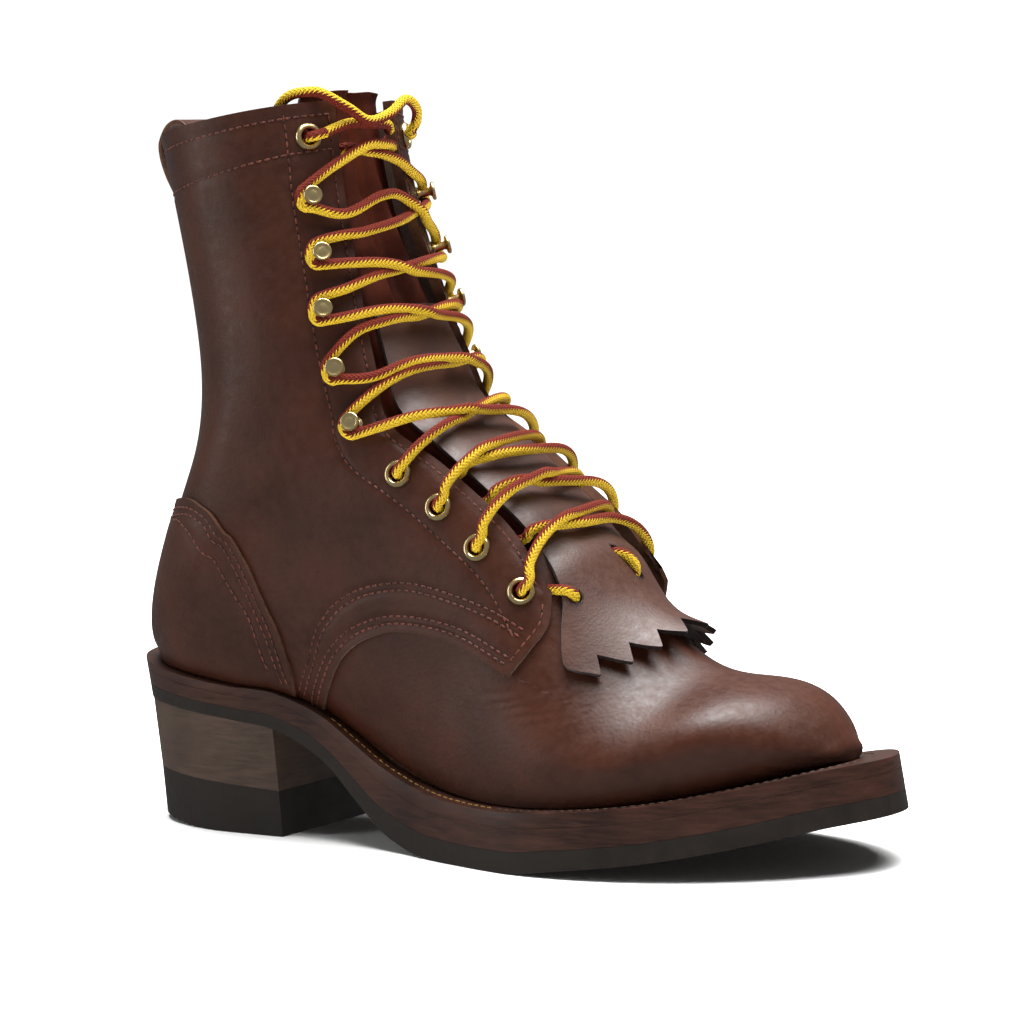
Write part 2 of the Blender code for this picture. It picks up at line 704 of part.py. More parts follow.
def build_counter():
    columns = 2 * COUNTER_COLUMNS + 1

    def between_the_sides(a, b):
        return abs(b - 0.5) < 0.5 / columns
    cover = slab(COUNTER_ROWS, columns, counter_place, between_the_sides, counter_seam)
    finish("counter_cover", cover, BROWN)


def backstay_share(a, b):
    section = COUNTER_EDGE[-1][0] + 0.15 + (COLLAR - 0.3 - COUNTER_EDGE[-1][0]) * a
    side = -1 if b < 0.5 else 1
    return section, side, 1.0 - arc_share(section, side, BACKSTAY_HALF) * abs(2 * b - 1)


def backstay_offsets(section):
    low = wall_outside(section) + QUARTER_STEP + STRIP_GAP
    return low, low + BACKSTAY_LEATHER


def build_backstay():
    finish("backstay", slab(9, 2, shell_place(backstay_share, backstay_offsets)), BROWN)


def build_pull_loop():
    back = SHAFT_SECTIONS[-1]
    lean = (SHAFT_SECTIONS[-2][2] - back[2]) / (SHAFT_SECTIONS[-2][3] - back[3])
    path = np.array(PULL_LOOP)
    count = np.arange(len(path))

    def place(a, b, level):
        at = a * (len(path) - 1)
        out, rise = smooth(count, path, at)
        ahead = smooth(count, path, min(at + 0.05, len(path) - 1)) - smooth(count, path, max(at - 0.05, 0))
        normal = np.array([-ahead[1], ahead[0]]) / np.linalg.norm(ahead)
        out, rise = np.array([out, rise]) - normal * LOOP_LEATHER * level
        y = (b - 0.5) * LOOP_WIDTH
        x = back[2] + lean * min(rise, 0.0) - out - LOOP_CLEARANCE + y**2 / (2 * back[4])
        return x, y, back[3] + rise
    finish("pull_loop", slab(18, 2, place), BROWN)


def tongue_share(a, b):
    section = TONGUE_START + (COLLAR - TONGUE_START) * a
    side = -1 if b < 0.5 else 1
    reach = throat_share(max(section, THROAT[0][0]), side) + arc_share(section, side, TONGUE_LAP)
    return section, side, reach * abs(2 * b - 1)


def tongue_offsets(section):
    high = wall_outside(section) - WALL - TONGUE_GAP
    return high - TONGUE, high


def build_tongue():
    rows = 15

    def place(a, b, level):
        stretch = rows / (rows - 1)
        point = shell_place(tongue_share, tongue_offsets)(min(a * stretch, 1.0), b, level)
        return point + np.array([0.0, 0.0, TONGUE_RISE]) * max(a * stretch - 1.0, 0.0) * (rows - 1)
    finish("tongue", slab(rows, 8, place), BROWN)


def kiltie_place(a, b, level):
    """The false tongue, its front end cut into teeth."""
    first, last = KILTIE_SHAPE[0][0], KILTIE_SHAPE[-1][0]
    across = 2 * b - 1
    tooth = abs((b * FRINGE_TEETH) % 1.0 - 0.5) * 2
    front = first + FRINGE_SWEEP * across**2 + FRINGE_DEPTH * tooth
    section = front + (last - front) * a**1.3
    half, low = smooth(*column(KILTIE_SHAPE, 1, 2), section)
    side = -1 if b < 0.5 else 1
    return on_last(section, arc_share(section, side, half * abs(across)), side, low + KILTIE * level)


def build_kiltie():
    finish("kiltie", slab(15, 2 * FRINGE_TEETH, kiltie_place), BROWN)


# Eyelets, hooks and lace

def seat_on_leather(thing, number, side, wall, foot_radius):
    """Stand a turned piece on the facets of the upper's wall, clear of the highest one under its foot."""
    _, section, arc = FASTENINGS[number]
    share = arc_share(section, side, arc)
    above = to_metres(on_last(section, share, side, REACH))
    point, normal, _, _ = wall.ray_cast(above, -Vector(normal_at(section, share, side)))
    turn_to = normal.to_track_quat("Z", "Y").to_matrix().to_4x4()
    highest = 0.0
    for angle in np.linspace(0, 2 * np.pi, 25):
        rim = Vector((np.cos(angle), np.sin(angle), 0.0)) * foot_radius / 1000
        start = point + turn_to @ rim + normal * REACH / 1000
        found, _, _, _ = wall.ray_cast(start, -normal)
        if found:
            highest = max(highest, (found - point).dot(normal))
    thing.matrix_world = Matrix.Translation(point + normal * (highest + METAL_GAP / 1000)) @ turn_to


REACH = 10.0                     # start of the search for the wall, off the last
METAL_GAP = 0.35
HOOK_FOOT = 2.6
EYELET_PROFILE = [(EYELET_HOLE, 0.0), (EYELET_HOLE, 1.2), (3.8, 1.6), (EYELET_RADIUS, 0.0)]
HOOK_NECK = 5.4
HOOK_PROFILE = [(0.0, 0.0), (HOOK_FOOT, 0.0), (HOOK_STEM, 0.9), (HOOK_STEM, HOOK_NECK),
                (HOOK_HEAD, HOOK_NECK), (2.7, 7.0), (0.0, 7.2)]


def turned(name, profile, closed, segments):
    """A profile of radius and height turned about Z."""
    shape = bmesh.new()
    ring = [shape.verts.new((radius / 1000, 0.0, height / 1000)) for radius, height in profile]
    for first, second in zip(ring, ring[1:]):
        shape.edges.new((first, second))
    if closed:
        shape.edges.new((ring[-1], ring[0]))
    bmesh.ops.spin(shape, geom=shape.verts[:] + shape.edges[:], cent=(0, 0, 0), axis=(0, 0, 1),
                   steps=segments, angle=2 * np.pi, use_merge=True)
    bmesh.ops.remove_doubles(shape, verts=shape.verts, dist=1e-6)
    bmesh.ops.recalc_face_normals(shape, faces=shape.faces)
    return finish(name, shape, BRASS)


def build_fastenings(upper):
    counts = {}
    wall = BVHTree.FromObject(upper, bpy.context.evaluated_depsgraph_get())
    for number, (kind, _, _) in enumerate(FASTENINGS):
        counts[kind] = counts.get(kind, 0) + 1
        for side, label in ((-1, "right"), (1, "left")):
            name = f"{kind}_{label}_{counts[kind]}"
            if kind == "eyelet":
                thing = turned(name, EYELET_PROFILE, True, 10)
                seat_on_leather(thing, number, side, wall, EYELET_RADIUS)
            else:
                thing = turned(name, HOOK_PROFILE, False, 8)
                seat_on_leather(thing, number, side, wall, HOOK_FOOT)


def lace_point(section, arc, lift, rise=0.0):
    side = -1 if arc < 0 else 1
    return on_last(section, arc_share(section, side, abs(arc)), side, lift) + np.array([0.0, 0.0, rise])


def beside_hook(number, side, toward):
    """Row of a route where the lace passes a hook, above it (toward 1) or below it (toward -1)."""
    _, section, arc = FASTENINGS[number]
    share = arc_share(section, side, arc)
    upward = on_last(section + 0.5, share, side) - on_last(section - 0.5, share, side)
    around = on_last(section, share + 0.01, side) - on_last(section, share - 0.01, side)
    step = np.linalg.norm(np.cross(upward, around)) / np.linalg.norm(around)
    return section + toward * LACE_BESIDE_HOOK / step, side * arc, LACE_ON_HOOK, 0.0


LACE_ON_HOOK = 2.7
LACE_BESIDE_HOOK = 5.0
RUN_LIFT = {0: 3.7, 1: 2.8}      # the first run of a crossing lies over the second
LACE_STATIONS = 9                # along a run
END_STATIONS = 14                # along a free end


def route_points(route, stations):
    """Points along a route on the last, whose rows are section place, arc, lift and rise."""
    run = np.arange(len(route))
    return [lace_point(*row) for row in smooth(run, route, np.linspace(0, run[-1], stations))]


def tube(name, points):
    """A round lace through points, as a closed mesh."""
    curve = bpy.data.curves.new(name, "CURVE")
    curve.dimensions = "3D"
    curve.bevel_depth = LACE_RADIUS / 1000
    curve.bevel_resolution = 1
    curve.use_fill_caps = True
    spline = curve.splines.new("POLY")
    spline.points.add(len(points) - 1)
    for target, point in zip(spline.points, points):
        target.co = (*to_metres(point), 1.0)
    guide = bpy.data.objects.new(name, curve)
    BOOT.objects.link(guide)
    evaluated = guide.evaluated_get(bpy.context.evaluated_depsgraph_get())
    shape = bmesh.new()
    made = bpy.data.meshes.new_from_object(evaluated)
    shape.from_mesh(made)
    bpy.data.objects.remove(guide, do_unlink=True)
    bpy.data.meshes.remove(made)
    bmesh.ops.remove_doubles(shape, verts=shape.verts, dist=1e-6)
    bmesh.ops.recalc_face_normals(shape, faces=shape.faces)
    return shape


def lace_run(above, below, lift, inner, side):
    """Points of one run, which starts on its own side and ends on the other one.

    At a hook it starts or ends beside the stem; at an eyelet its end points are those of the table.
    """
    route = [(section, arc, lift, 0.0) for section, arc in inner]
    start, end = (below, above) if FASTENINGS[above][0] == "eyelet" else (above, below)
    if FASTENINGS[start][0] == "hook":
        route.insert(0, beside_hook(start, side, -1 if start == above else 1))
    if FASTENINGS[end][0] == "hook":
        route.append(beside_hook(end, -side, -1 if end == above else 1))
    return route_points(route, LACE_STATIONS)


def build_crossings():
    """Each crossing of the lace: two runs joined where they cross."""
    for number, (above, below, lift, first, second) in enumerate(CROSSINGS):
        name = f"lace_crossing_{number + 1}"
        over = tube(name, lace_run(above, below, RUN_LIFT[0] + lift, first, -1))
        under = tube(name, lace_run(above, below, RUN_LIFT[1] + lift, second, 1))
        crossing = finish(name, over, LACE)
        other = finish(f"{name}_second_run", under, LACE, CUTTERS)
        other.hide_render = True
        other.display_type = "WIRE"
        join = crossing.modifiers.new("second run", "BOOLEAN")
        join.operation = "UNION"
        join.object = other
        join.solver = "EXACT"


def build_lace_ends():
    """The two free ends: one tucked behind the inner quarter, one hanging over the collar into the shaft."""
    for name, route in (("lace_end_outer", END_FROM_OUTSIDE), ("lace_end_inner", END_FROM_INSIDE)):
        finish(name, tube(name, route_points(route, END_STATIONS)), LACE)


build_sole()
UPPER = build_upper()
build_counter()
build_backstay()
build_pull_loop()
build_tongue()
build_kiltie()
build_fastenings(UPPER)
build_crossings()
build_lace_ends()
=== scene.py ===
# %% [markdown]
# A right packer boot: a laced leather work boot with a fringed false tongue, the kiltie, over its instep.
# The CAD frame gives every size and place. This lesson dresses it: cut and stitched leather, a two-colour
# braided lace, brass eyelets and hooks, a welted leather and rubber sole.

# %% Load the frame
import bmesh
import bpy
import numpy as np
from mathutils import Matrix, Vector
from mathutils.kdtree import KDTree


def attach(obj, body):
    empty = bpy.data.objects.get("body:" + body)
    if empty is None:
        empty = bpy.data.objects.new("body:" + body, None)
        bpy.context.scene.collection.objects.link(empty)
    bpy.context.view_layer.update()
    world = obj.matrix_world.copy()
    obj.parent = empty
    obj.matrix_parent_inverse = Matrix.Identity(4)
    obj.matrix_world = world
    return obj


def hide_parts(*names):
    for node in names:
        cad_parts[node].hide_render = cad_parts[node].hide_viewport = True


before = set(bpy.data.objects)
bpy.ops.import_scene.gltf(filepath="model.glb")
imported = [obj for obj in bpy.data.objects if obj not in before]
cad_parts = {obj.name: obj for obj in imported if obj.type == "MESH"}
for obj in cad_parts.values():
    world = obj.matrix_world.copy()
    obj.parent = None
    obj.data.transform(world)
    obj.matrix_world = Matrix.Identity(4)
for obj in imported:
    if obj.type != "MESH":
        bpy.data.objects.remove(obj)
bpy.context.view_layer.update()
print("nodes in the frame:", len(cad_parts))

# %% [markdown]
# The boot was drawn over a last, the foot-shaped block that a bootmaker stretches leather over. The same
# short tables that shaped the solids are repeated here in millimetres, so that the leather lies where the
# solids are. Reading them on a much finer grid gives round surfaces; a scan or a sculpt would give no named
# sizes.

# %% Tables of the sole and the last, millimetres
SOLE_LENGTH = 306.0
CENTRE_SHIFT = (-0.7, -0.1, 0.0)
OUTSOLE_SHARE = 0.365
MIDSOLE_SHARE = 0.75
BREAST_X = -73.5
LIFT_HEIGHT = 16.8
LIFT_RISE = 4.2
HEEL_ROLL = 4.0
HEEL_FLAT_END = -106.0
WALL = 2.2
QUARTER_STEP = 1.6
# Section places between which the vamp's wall dips under the quarters
QUARTER_DIP = (6.5, 9.0)
# Share of the length from the toe, half width outside, half width inside
OUTLINE = [
    (0.00, -9.0, 9.0), (0.04, 14.0, 32.0), (0.10, 29.5, 43.5), (0.18, 43.0, 50.5), (0.27, 51.5, 53.5),
    (0.36, 53.5, 52.0), (0.46, 48.0, 44.5), (0.56, 40.0, 35.0), (0.66, 36.5, 31.0), (0.76, 37.0, 33.5),
    (0.86, 36.5, 35.0), (0.94, 28.5, 27.5), (1.00, 0.0, 0.0),
]
# Share of the length, set-back of the edge at the underside and at the welt
TRIM = [(0.0, -2.6, 0.0), (0.2, -1.4, 0.0), (0.5, 0.0, 0.0), (0.8, 0.3, -0.8), (1.0, 0.6, -1.2)]
# x, underside of the outsole, top of the welt
HEIGHTS = [
    (-156, 47.2, 62.2), (-120, 44.8, 57.8), (-90, 42.0, 54.4), (-72, 39.6, 53.2), (-60, 34.8, 49.8),
    (-48, 27.6, 44.8), (-36, 16.8, 37.6), (-24, 7.2, 30.8), (-12, 2.2, 26.2), (0, 0.0, 23.2),
    (14, 0.0, 21.5), (40, 0.0, 21.0), (60, 2.6, 22.1), (93, 6.8, 25.7), (125, 12.8, 32.0),
    (142, 16.6, 35.6), (157, 18.8, 37.6),
]
# Share of the length, set-back of the upper's foot from the sole edge
FEATHER = [(0.00, 14.0), (0.06, 11.5), (0.18, 8.5), (0.36, 7.0), (0.50, 6.0), (0.66, 4.5), (0.80, 4.2),
           (0.94, 4.8), (1.00, 5.5)]
# Ridge x and z, share of the length at the welt, ridge y, half widths outside and inside, widest place,
# fullness above and below it
FOOT_SECTIONS = [
    (139.0, 36.4, 0.000, 9.0, 0.01, 0.01, 0.60, 2.0, 2.0),
    (138.6, 40.0, 0.012, 9.0, 8.6, 8.0, 0.55, 2.0, 2.2),
    (136.0, 44.0, 0.035, 9.0, 16.2, 12.0, 0.60, 1.8, 2.3),
    (131.0, 50.0, 0.070, 8.5, 25.4, 21.0, 0.62, 1.95, 2.4),
    (121.8, 56.8, 0.120, 7.5, 35.2, 30.0, 0.64, 2.3, 2.4),
    (108.5, 61.0, 0.180, 6.0, 43.2, 38.0, 0.66, 2.4, 2.4),
    (90.5, 64.0, 0.260, 4.0, 49.2, 43.0, 0.70, 1.6, 2.4),
    (71.5, 75.5, 0.350, 2.0, 50.5, 45.0, 0.72, 1.7, 2.3),
    (53.5, 95.0, 0.440, 1.0, 47.0, 43.0, 0.72, 2.4, 2.3),
    (38.0, 117.0, 0.530, 0.5, 43.0, 40.5, 0.70, 3.4, 2.2),
    (23.0, 129.8, 0.620, 0.0, 41.0, 39.5, 0.66, 3.8, 2.2),
    (9.0, 140.7, 0.710, 0.0, 41.0, 39.8, 0.60, 3.8, 2.2),
    (-2.5, 150.3, 0.800, 0.0, 42.0, 41.0, 0.55, 3.6, 2.2),
    (-10.4, 157.4, 0.890, 0.0, 43.0, 42.0, 0.52, 3.3, 2.1),
    (-14.7, 163.2, 0.960, 0.0, 44.0, 43.4, 0.50, 3.1, 2.05),
    (-17.0, 169.0, 1.000, 0.0, 45.0, 44.5, 0.49, 3.0, 2.0),
]
# Front x and z, back x and z, half widths outside and inside, widest place, fullness above and below it
SHAFT_SECTIONS = [
    (-21.8, 177.2, -145.2, 78.0, 45.5, 45.0, 0.48, 3.0, 2.0),
    (-26.6, 187.2, -133.8, 103.0, 46.0, 45.5, 0.47, 2.8, 2.0),
    (-31.2, 198.6, -119.0, 130.0, 46.0, 45.5, 0.47, 2.6, 2.0),
    (-36.0, 212.0, -113.5, 158.0, 45.5, 45.0, 0.48, 2.5, 2.0),
    (-41.3, 228.0, -116.0, 190.0, 45.0, 44.5, 0.49, 2.5, 2.0),
    (-44.8, 246.0, -121.5, 222.0, 45.0, 44.5, 0.50, 2.5, 2.0),
    (-46.2, 262.5, -128.0, 251.0, 45.0, 44.5, 0.50, 2.5, 2.0),
]
COLLAR = len(FOOT_SECTIONS) + len(SHAFT_SECTIONS) - 1.0
HEEL_TOP = float(len(FOOT_SECTIONS))
# The two halves of the last, outside and inside, and what their pieces are called on a right boot
SIDES = ((-1, "right"), (1, "left"))
print("sections of the last:", int(COLLAR) + 1)


# %% [markdown]
# A table becomes a curve with a cubic between neighbouring rows. The sole's outline is read by an angle, so
# that toe and heel come out round. These helpers take whole arrays, because a leather grid has thousands of
# points.

# %% Curves through tables and the edge of the sole
def smooth(places, values, at):
    """Smooth curve through table values, read at the places given."""
    places = np.asarray(places, float)
    values = np.asarray(values, float)
    columns = values.reshape(len(places), -1)
    at = np.clip(np.asarray(at, float), places[0], places[-1])
    slope = np.gradient(columns, places, axis=0)
    i = np.clip(np.searchsorted(places, at, side="right") - 1, 0, len(places) - 2)
    step = (places[i + 1] - places[i])[..., None]
    t = (at - places[i])[..., None] / step
    result = columns[i] * (2 * t**3 - 3 * t**2 + 1) + slope[i] * step * (t**3 - 2 * t**2 + t)
    result = result + columns[i + 1] * (3 * t**2 - 2 * t**3) + slope[i + 1] * step * (t**3 - t**2)
    return result[..., 0] if values.ndim == 1 else result


def read(table, number, at):
    """One column of a table as a smooth curve over its first column."""
    rows = np.array(table, float)
    return smooth(rows[:, 0], rows[:, number], at)


def ease(value, start, end):
    """0 before start, 1 after end, and a soft step between them."""
    t = np.clip((np.asarray(value, float) - start) / (end - start), 0, 1)
    return t * t * (3 - 2 * t)


def unit(vectors):
    """Vectors scaled to a length of one."""
    return vectors / np.maximum(np.linalg.norm(vectors, axis=-1, keepdims=True), 1e-9)


def along_line(points):
    """Distance run along a line at each of its points."""
    return np.concatenate([[0], np.cumsum(np.linalg.norm(np.diff(points, axis=0), axis=1))])


def at_runs(wanted, run, values):
    """Values of a line's points, read at the distances wanted along it."""
    return np.stack([np.interp(wanted, run, values[:, k]) for k in range(3)], -1)


def turn(share):
    """Share of the length as an angle share."""
    return np.arccos(1 - 2 * np.clip(np.asarray(share, float), 0, 1)) / np.pi


def length_share(angle):
    """Angle share as a share of the length; even angles crowd towards both ends."""
    return (1 - np.cos(np.pi * angle)) / 2


def outline_point(angle, side):
    """Plan point of the sole edge; side -1 is outside, +1 inside."""
    rows = np.array(OUTLINE)
    x = SOLE_LENGTH * np.cos(np.pi * angle) / 2
    y = side * smooth(turn(rows[:, 0]), rows[:, 1 if side < 0 else 2], angle)
    return np.stack([x, y], -1)


def sole_edge(share, side, setback):
    """Plan point of the sole edge, moved inwards by the set-back."""
    angle = turn(share)
    near = 0.001
    ahead = outline_point(np.clip(angle + near, 0, 1), side)
    behind = outline_point(np.clip(angle - near, 0, 1), side)
    along = unit(ahead - behind)
    inward = np.stack([along[..., 1], -along[..., 0]], -1) * -side
    return outline_point(angle, side) + inward * np.asarray(setback, float)[..., None]


def underside(x):
    return np.maximum(read(HEIGHTS, 1, x), 0.0)


def welt_top(x):
    return read(HEIGHTS, 2, x)


def metres(points):
    """The tables' millimetres in the frame's metres."""
    return (np.asarray(points, float) + CENTRE_SHIFT) / 1000


BALL_SHARE = 0.33
ball_width = np.ptp([sole_edge(BALL_SHARE, side, 0.0)[1] for side, _ in SIDES])
print("sole length %.0f mm, ball width %.0f mm" % (SOLE_LENGTH, ball_width))

# %% [markdown]
# The last's surface is two halves, outside and inside, each a stack of half sections from the ridge down to
# the welt or the back seam. A place counts the sections from the toe to the collar, a share runs down a
# section, and an offset lifts a point off the surface. A few passes of averaging take out the slight ribs
# between rows.

# %% The last as a fine surface
FINE_ROWS = 16
FINE_SHARES = 161
ARC_POINTS = 240
EVEN_PASSES = 40
# The first sections, at the tip of the toe, keep their form
EVEN_FROM = 2 * FINE_ROWS
# Keeps a grid place inside the last cell
LAST_CELL = 1.000001
SEAT = 0.3


def section_rows():
    """Every section as ridge, outside foot, inside foot, half widths, widest place and fullness."""
    rows = []
    for x, z, share, y, outside, inside, widest, above, below in FOOT_SECTIONS:
        feet = []
        for side, _ in SIDES:
            plan = sole_edge(share, side, read(FEATHER, 1, share))
            feet.append(np.array([*plan, welt_top(plan[0]) + SEAT]))
        if share in (0.0, 1.0):
            feet = [(feet[0] + feet[1]) / 2] * 2
        rows.append([x, y, z, *feet[0], *feet[1], outside, inside, widest, above, below])
    for x, z, back_x, back_z, outside, inside, widest, above, below in SHAFT_SECTIONS:
        back = [back_x, 0.0, back_z]
        rows.append([x, 0.0, z, *back, *back, outside, inside, widest, above, below])
    return np.array(rows)


def half_section(row, side):
    """Half a section, ridge to foot, as points evenly spaced along its arc, and the arc's length."""
    ridge = row[0:3]
    foot = row[3:6] if side < 0 else row[6:9]
    half = row[9] if side < 0 else row[10]
    widest, above, below = row[11:14]
    down = np.array([foot[0] - ridge[0], 0.0, foot[2] - ridge[2]])
    tuck = np.arccos(np.clip((foot[1] - ridge[1]) * side / half, 0, 1) ** (below / 2))
    upper_arc = np.linspace(0, np.pi / 2, ARC_POINTS)
    lower_arc = np.linspace(0, max(tuck, 1e-4), ARC_POINTS)[1:]
    lower = np.sin(lower_arc) ** (2 / below)
    depth = np.concatenate([widest * (1 - np.cos(upper_arc).clip(0) ** (2 / above)),
                            widest + (1 - widest) * lower / lower[-1]])
    reach = np.concatenate([np.sin(upper_arc) ** (2 / above), np.cos(lower_arc).clip(0) ** (2 / below)])
    points = ridge + depth[:, None] * down + np.outer(reach * half * side, [0, 1, 0])
    run = along_line(points)
    return at_runs(np.linspace(0, run[-1], FINE_SHARES), run, points), run[-1]


def last_surface(side):
    """Points, outward normals and arc lengths of one half of the last."""
    places = np.linspace(0, COLLAR, int(COLLAR * FINE_ROWS) + 1)
    rows = section_rows()
    halves = [half_section(row, side) for row in smooth(np.arange(len(rows)), rows, places)]
    points = np.array([half[0] for half in halves])
    for _ in range(EVEN_PASSES):
        points[EVEN_FROM:-1] += (points[EVEN_FROM - 1:-2] + points[EVEN_FROM + 1:]
                                 - 2 * points[EVEN_FROM:-1]) / 4
    normals = np.cross(np.gradient(points, axis=1), np.gradient(points, axis=0)) * side
    normals[0] = normals[1]
    normals[:, 0] *= [1, 0, 1]
    return points, unit(normals), np.array([half[1] for half in halves])


LAST = {side: last_surface(side) for side, _ in SIDES}
ARC_LENGTHS = {side: half[2] for side, half in LAST.items()}


def on_last(place, share, side, offset=0.0):
    """Points at section places and shares down the sections, lifted off the last by the offsets."""
    values = (np.asarray(value, float) for value in (place, share, side, offset))
    place, share, side, offset = np.broadcast_arrays(*values)
    result = np.empty(place.shape + (3,))
    for half, (points, normals, _) in LAST.items():
        chosen = side == half
        row = np.clip(place[chosen] * FINE_ROWS, 0, len(points) - LAST_CELL)
        col = np.clip(share[chosen], 0, 1) * (FINE_SHARES - LAST_CELL)
        i, j = row.astype(int), col.astype(int)
        a, b = (row - i)[:, None], (col - j)[:, None]

        def mix(grid):
            low = grid[i, j] * (1 - a) + grid[i + 1, j] * a
            return low * (1 - b) + (grid[i, j + 1] * (1 - a) + grid[i + 1, j + 1] * a) * b
        result[chosen] = mix(points) + unit(mix(normals)) * offset[chosen][:, None]
    return result


def by_side(tables, place, side):
    """Values along the sections, each read from the table of its own side."""
    rows = np.linspace(0, COLLAR, len(tables[1]))
    outside, inside = (np.interp(place, rows, tables[half]) for half in (-1, 1))
    return np.where(np.asarray(side) < 0, outside, inside)


def arc_share(place, side, distance):
    """Share down a section of a point at an arc distance from its ridge."""
    return distance / by_side(ARC_LENGTHS, place, side)


def by_arc(place, arc, offset):
    """Points by their arc from the ridge, outside negative."""
    side = np.where(np.asarray(arc, float) < 0, -1, 1)
    return on_last(place, arc_share(place, side, np.abs(arc)), side, offset)


def wall_outside(place):
    """Offset of the vamp's own wall, which dips under the quarters."""
    return -QUARTER_STEP * np.interp(place, QUARTER_DIP, (0.0, 1.0))


def quarter_outside(place):
    """Offset of the quarters' outer face."""
    return wall_outside(place) + QUARTER_STEP


print("last: %d points a side" % (LAST[1][0].shape[0] * LAST[1][0].shape[1]))

# %% [markdown]
# The camera stands where the photographer stood: about a metre away with a long lens, a little above the
# instep and slightly rolled. Its axes are built from three angles, which is exact; aiming it at a point would
# lose the roll.

# %% Camera
CAMERA_PLACE = (685.72, -940.54, 224.15)
CAMERA_AZIMUTH, CAMERA_PITCH, CAMERA_ROLL = np.radians([35.69, 5.33, -2.34])
LENS_MM = 116.795
SENSOR_MM = 36.0

back = np.array([np.sin(CAMERA_AZIMUTH) * np.cos(CAMERA_PITCH),
                 -np.cos(CAMERA_AZIMUTH) * np.cos(CAMERA_PITCH),
                 np.sin(CAMERA_PITCH)])
level_right = np.array([np.cos(CAMERA_AZIMUTH), np.sin(CAMERA_AZIMUTH), 0.0])
level_up = np.cross(back, level_right)
right = np.cos(CAMERA_ROLL) * level_right + np.sin(CAMERA_ROLL) * level_up
up = np.cos(CAMERA_ROLL) * level_up - np.sin(CAMERA_ROLL) * level_right
lens = bpy.data.cameras.new("studio_camera")
lens.lens = LENS_MM
lens.sensor_width = SENSOR_MM
camera = bpy.data.objects.new("studio_camera", lens)
bpy.context.scene.collection.objects.link(camera)
camera_axes = Matrix(np.column_stack([right, up, back])).to_4x4()
camera.matrix_world = Matrix.Translation(metres(CAMERA_PLACE)) @ camera_axes
bpy.context.scene.camera = camera
print("camera at", [round(v, 3) for v in camera.location])

# %% [markdown]
# Every piece ends the same way: a bmesh becomes an object at the origin that rides on the boot and hides the
# plain solid it stands for. Every material is made the same way too: its colours are written as sRGB hex, one
# function adds a node with its settings and links, and another one links what the nodes give to the shader.

# %% Finishing a piece and starting a material
def colour(code):
    """sRGB hex to the linear colour that a shader reads."""
    values = np.array([int(code[k:k + 2], 16) for k in (1, 3, 5)]) / 255
    linear = np.where(values <= 0.04045, values / 12.92, ((values + 0.055) / 1.055) ** 2.4)
    return (*linear, 1.0)


def add(material, kind, inputs=None, **settings):
    """Adds one node: settings are its own options, inputs are values or the sockets to link."""
    node = material.node_tree.nodes.new(kind)
    for key, value in settings.items():
        setattr(node, key, value)
    for key, value in (inputs or {}).items():
        if isinstance(value, bpy.types.NodeSocket):
            material.node_tree.links.new(value, node.inputs[key])
        else:
            node.inputs[key].default_value = value
    return node


def start_material(name, **values):
    """A material whose Principled shader has its steady values set on its own sockets."""
    material = bpy.data.materials.new(name)
    material.use_nodes = True
    for key, value in values.items():
        material.node_tree.nodes["Principled BSDF"].inputs[key.replace("_", " ")].default_value = value
    return material


def feed(material, **sockets):
    """Links sockets to the material's Principled shader, and gives the finished material back."""
    shader = material.node_tree.nodes["Principled BSDF"]
    for key, socket in sockets.items():
        material.node_tree.links.new(socket, shader.inputs[key.replace("_", " ")])
    return material


def per_mm(size):
    """Texture scale whose pattern has this size in millimetres, on Object coordinates in metres."""
    return 1000.0 / size


def piece(name, shape, finishes, stands_for=(), sharp=40):
    """Turns a bmesh into a finished piece of the boot."""
    mesh = bpy.data.meshes.new(name)
    shape.to_mesh(mesh)
    shape.free()
    for finish in finishes:
        mesh.materials.append(finish)
    mesh.shade_smooth()
    mesh.set_sharp_from_angle(angle=np.radians(sharp))
    thing = bpy.data.objects.new(name, mesh)
    bpy.context.scene.collection.objects.link(thing)
    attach(thing, "root")
    if stands_for:
        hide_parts(*stands_for)
    print("%s: %d faces" % (name, len(mesh.polygons)))
    return thing


# %% [markdown]
# The lace is a round braid, one half woven yellow and the other red-brown, so a saw-toothed line runs along
# it. Its pattern follows the cord, so the material reads the tube's own UV map: millimetres along, turns
# around.

# %% Braided lace material
LACE_RADIUS = 1.85
BRAID_PITCH = 1.6
BRAID_STRANDS = 8
YARN_TEETH = 0.3


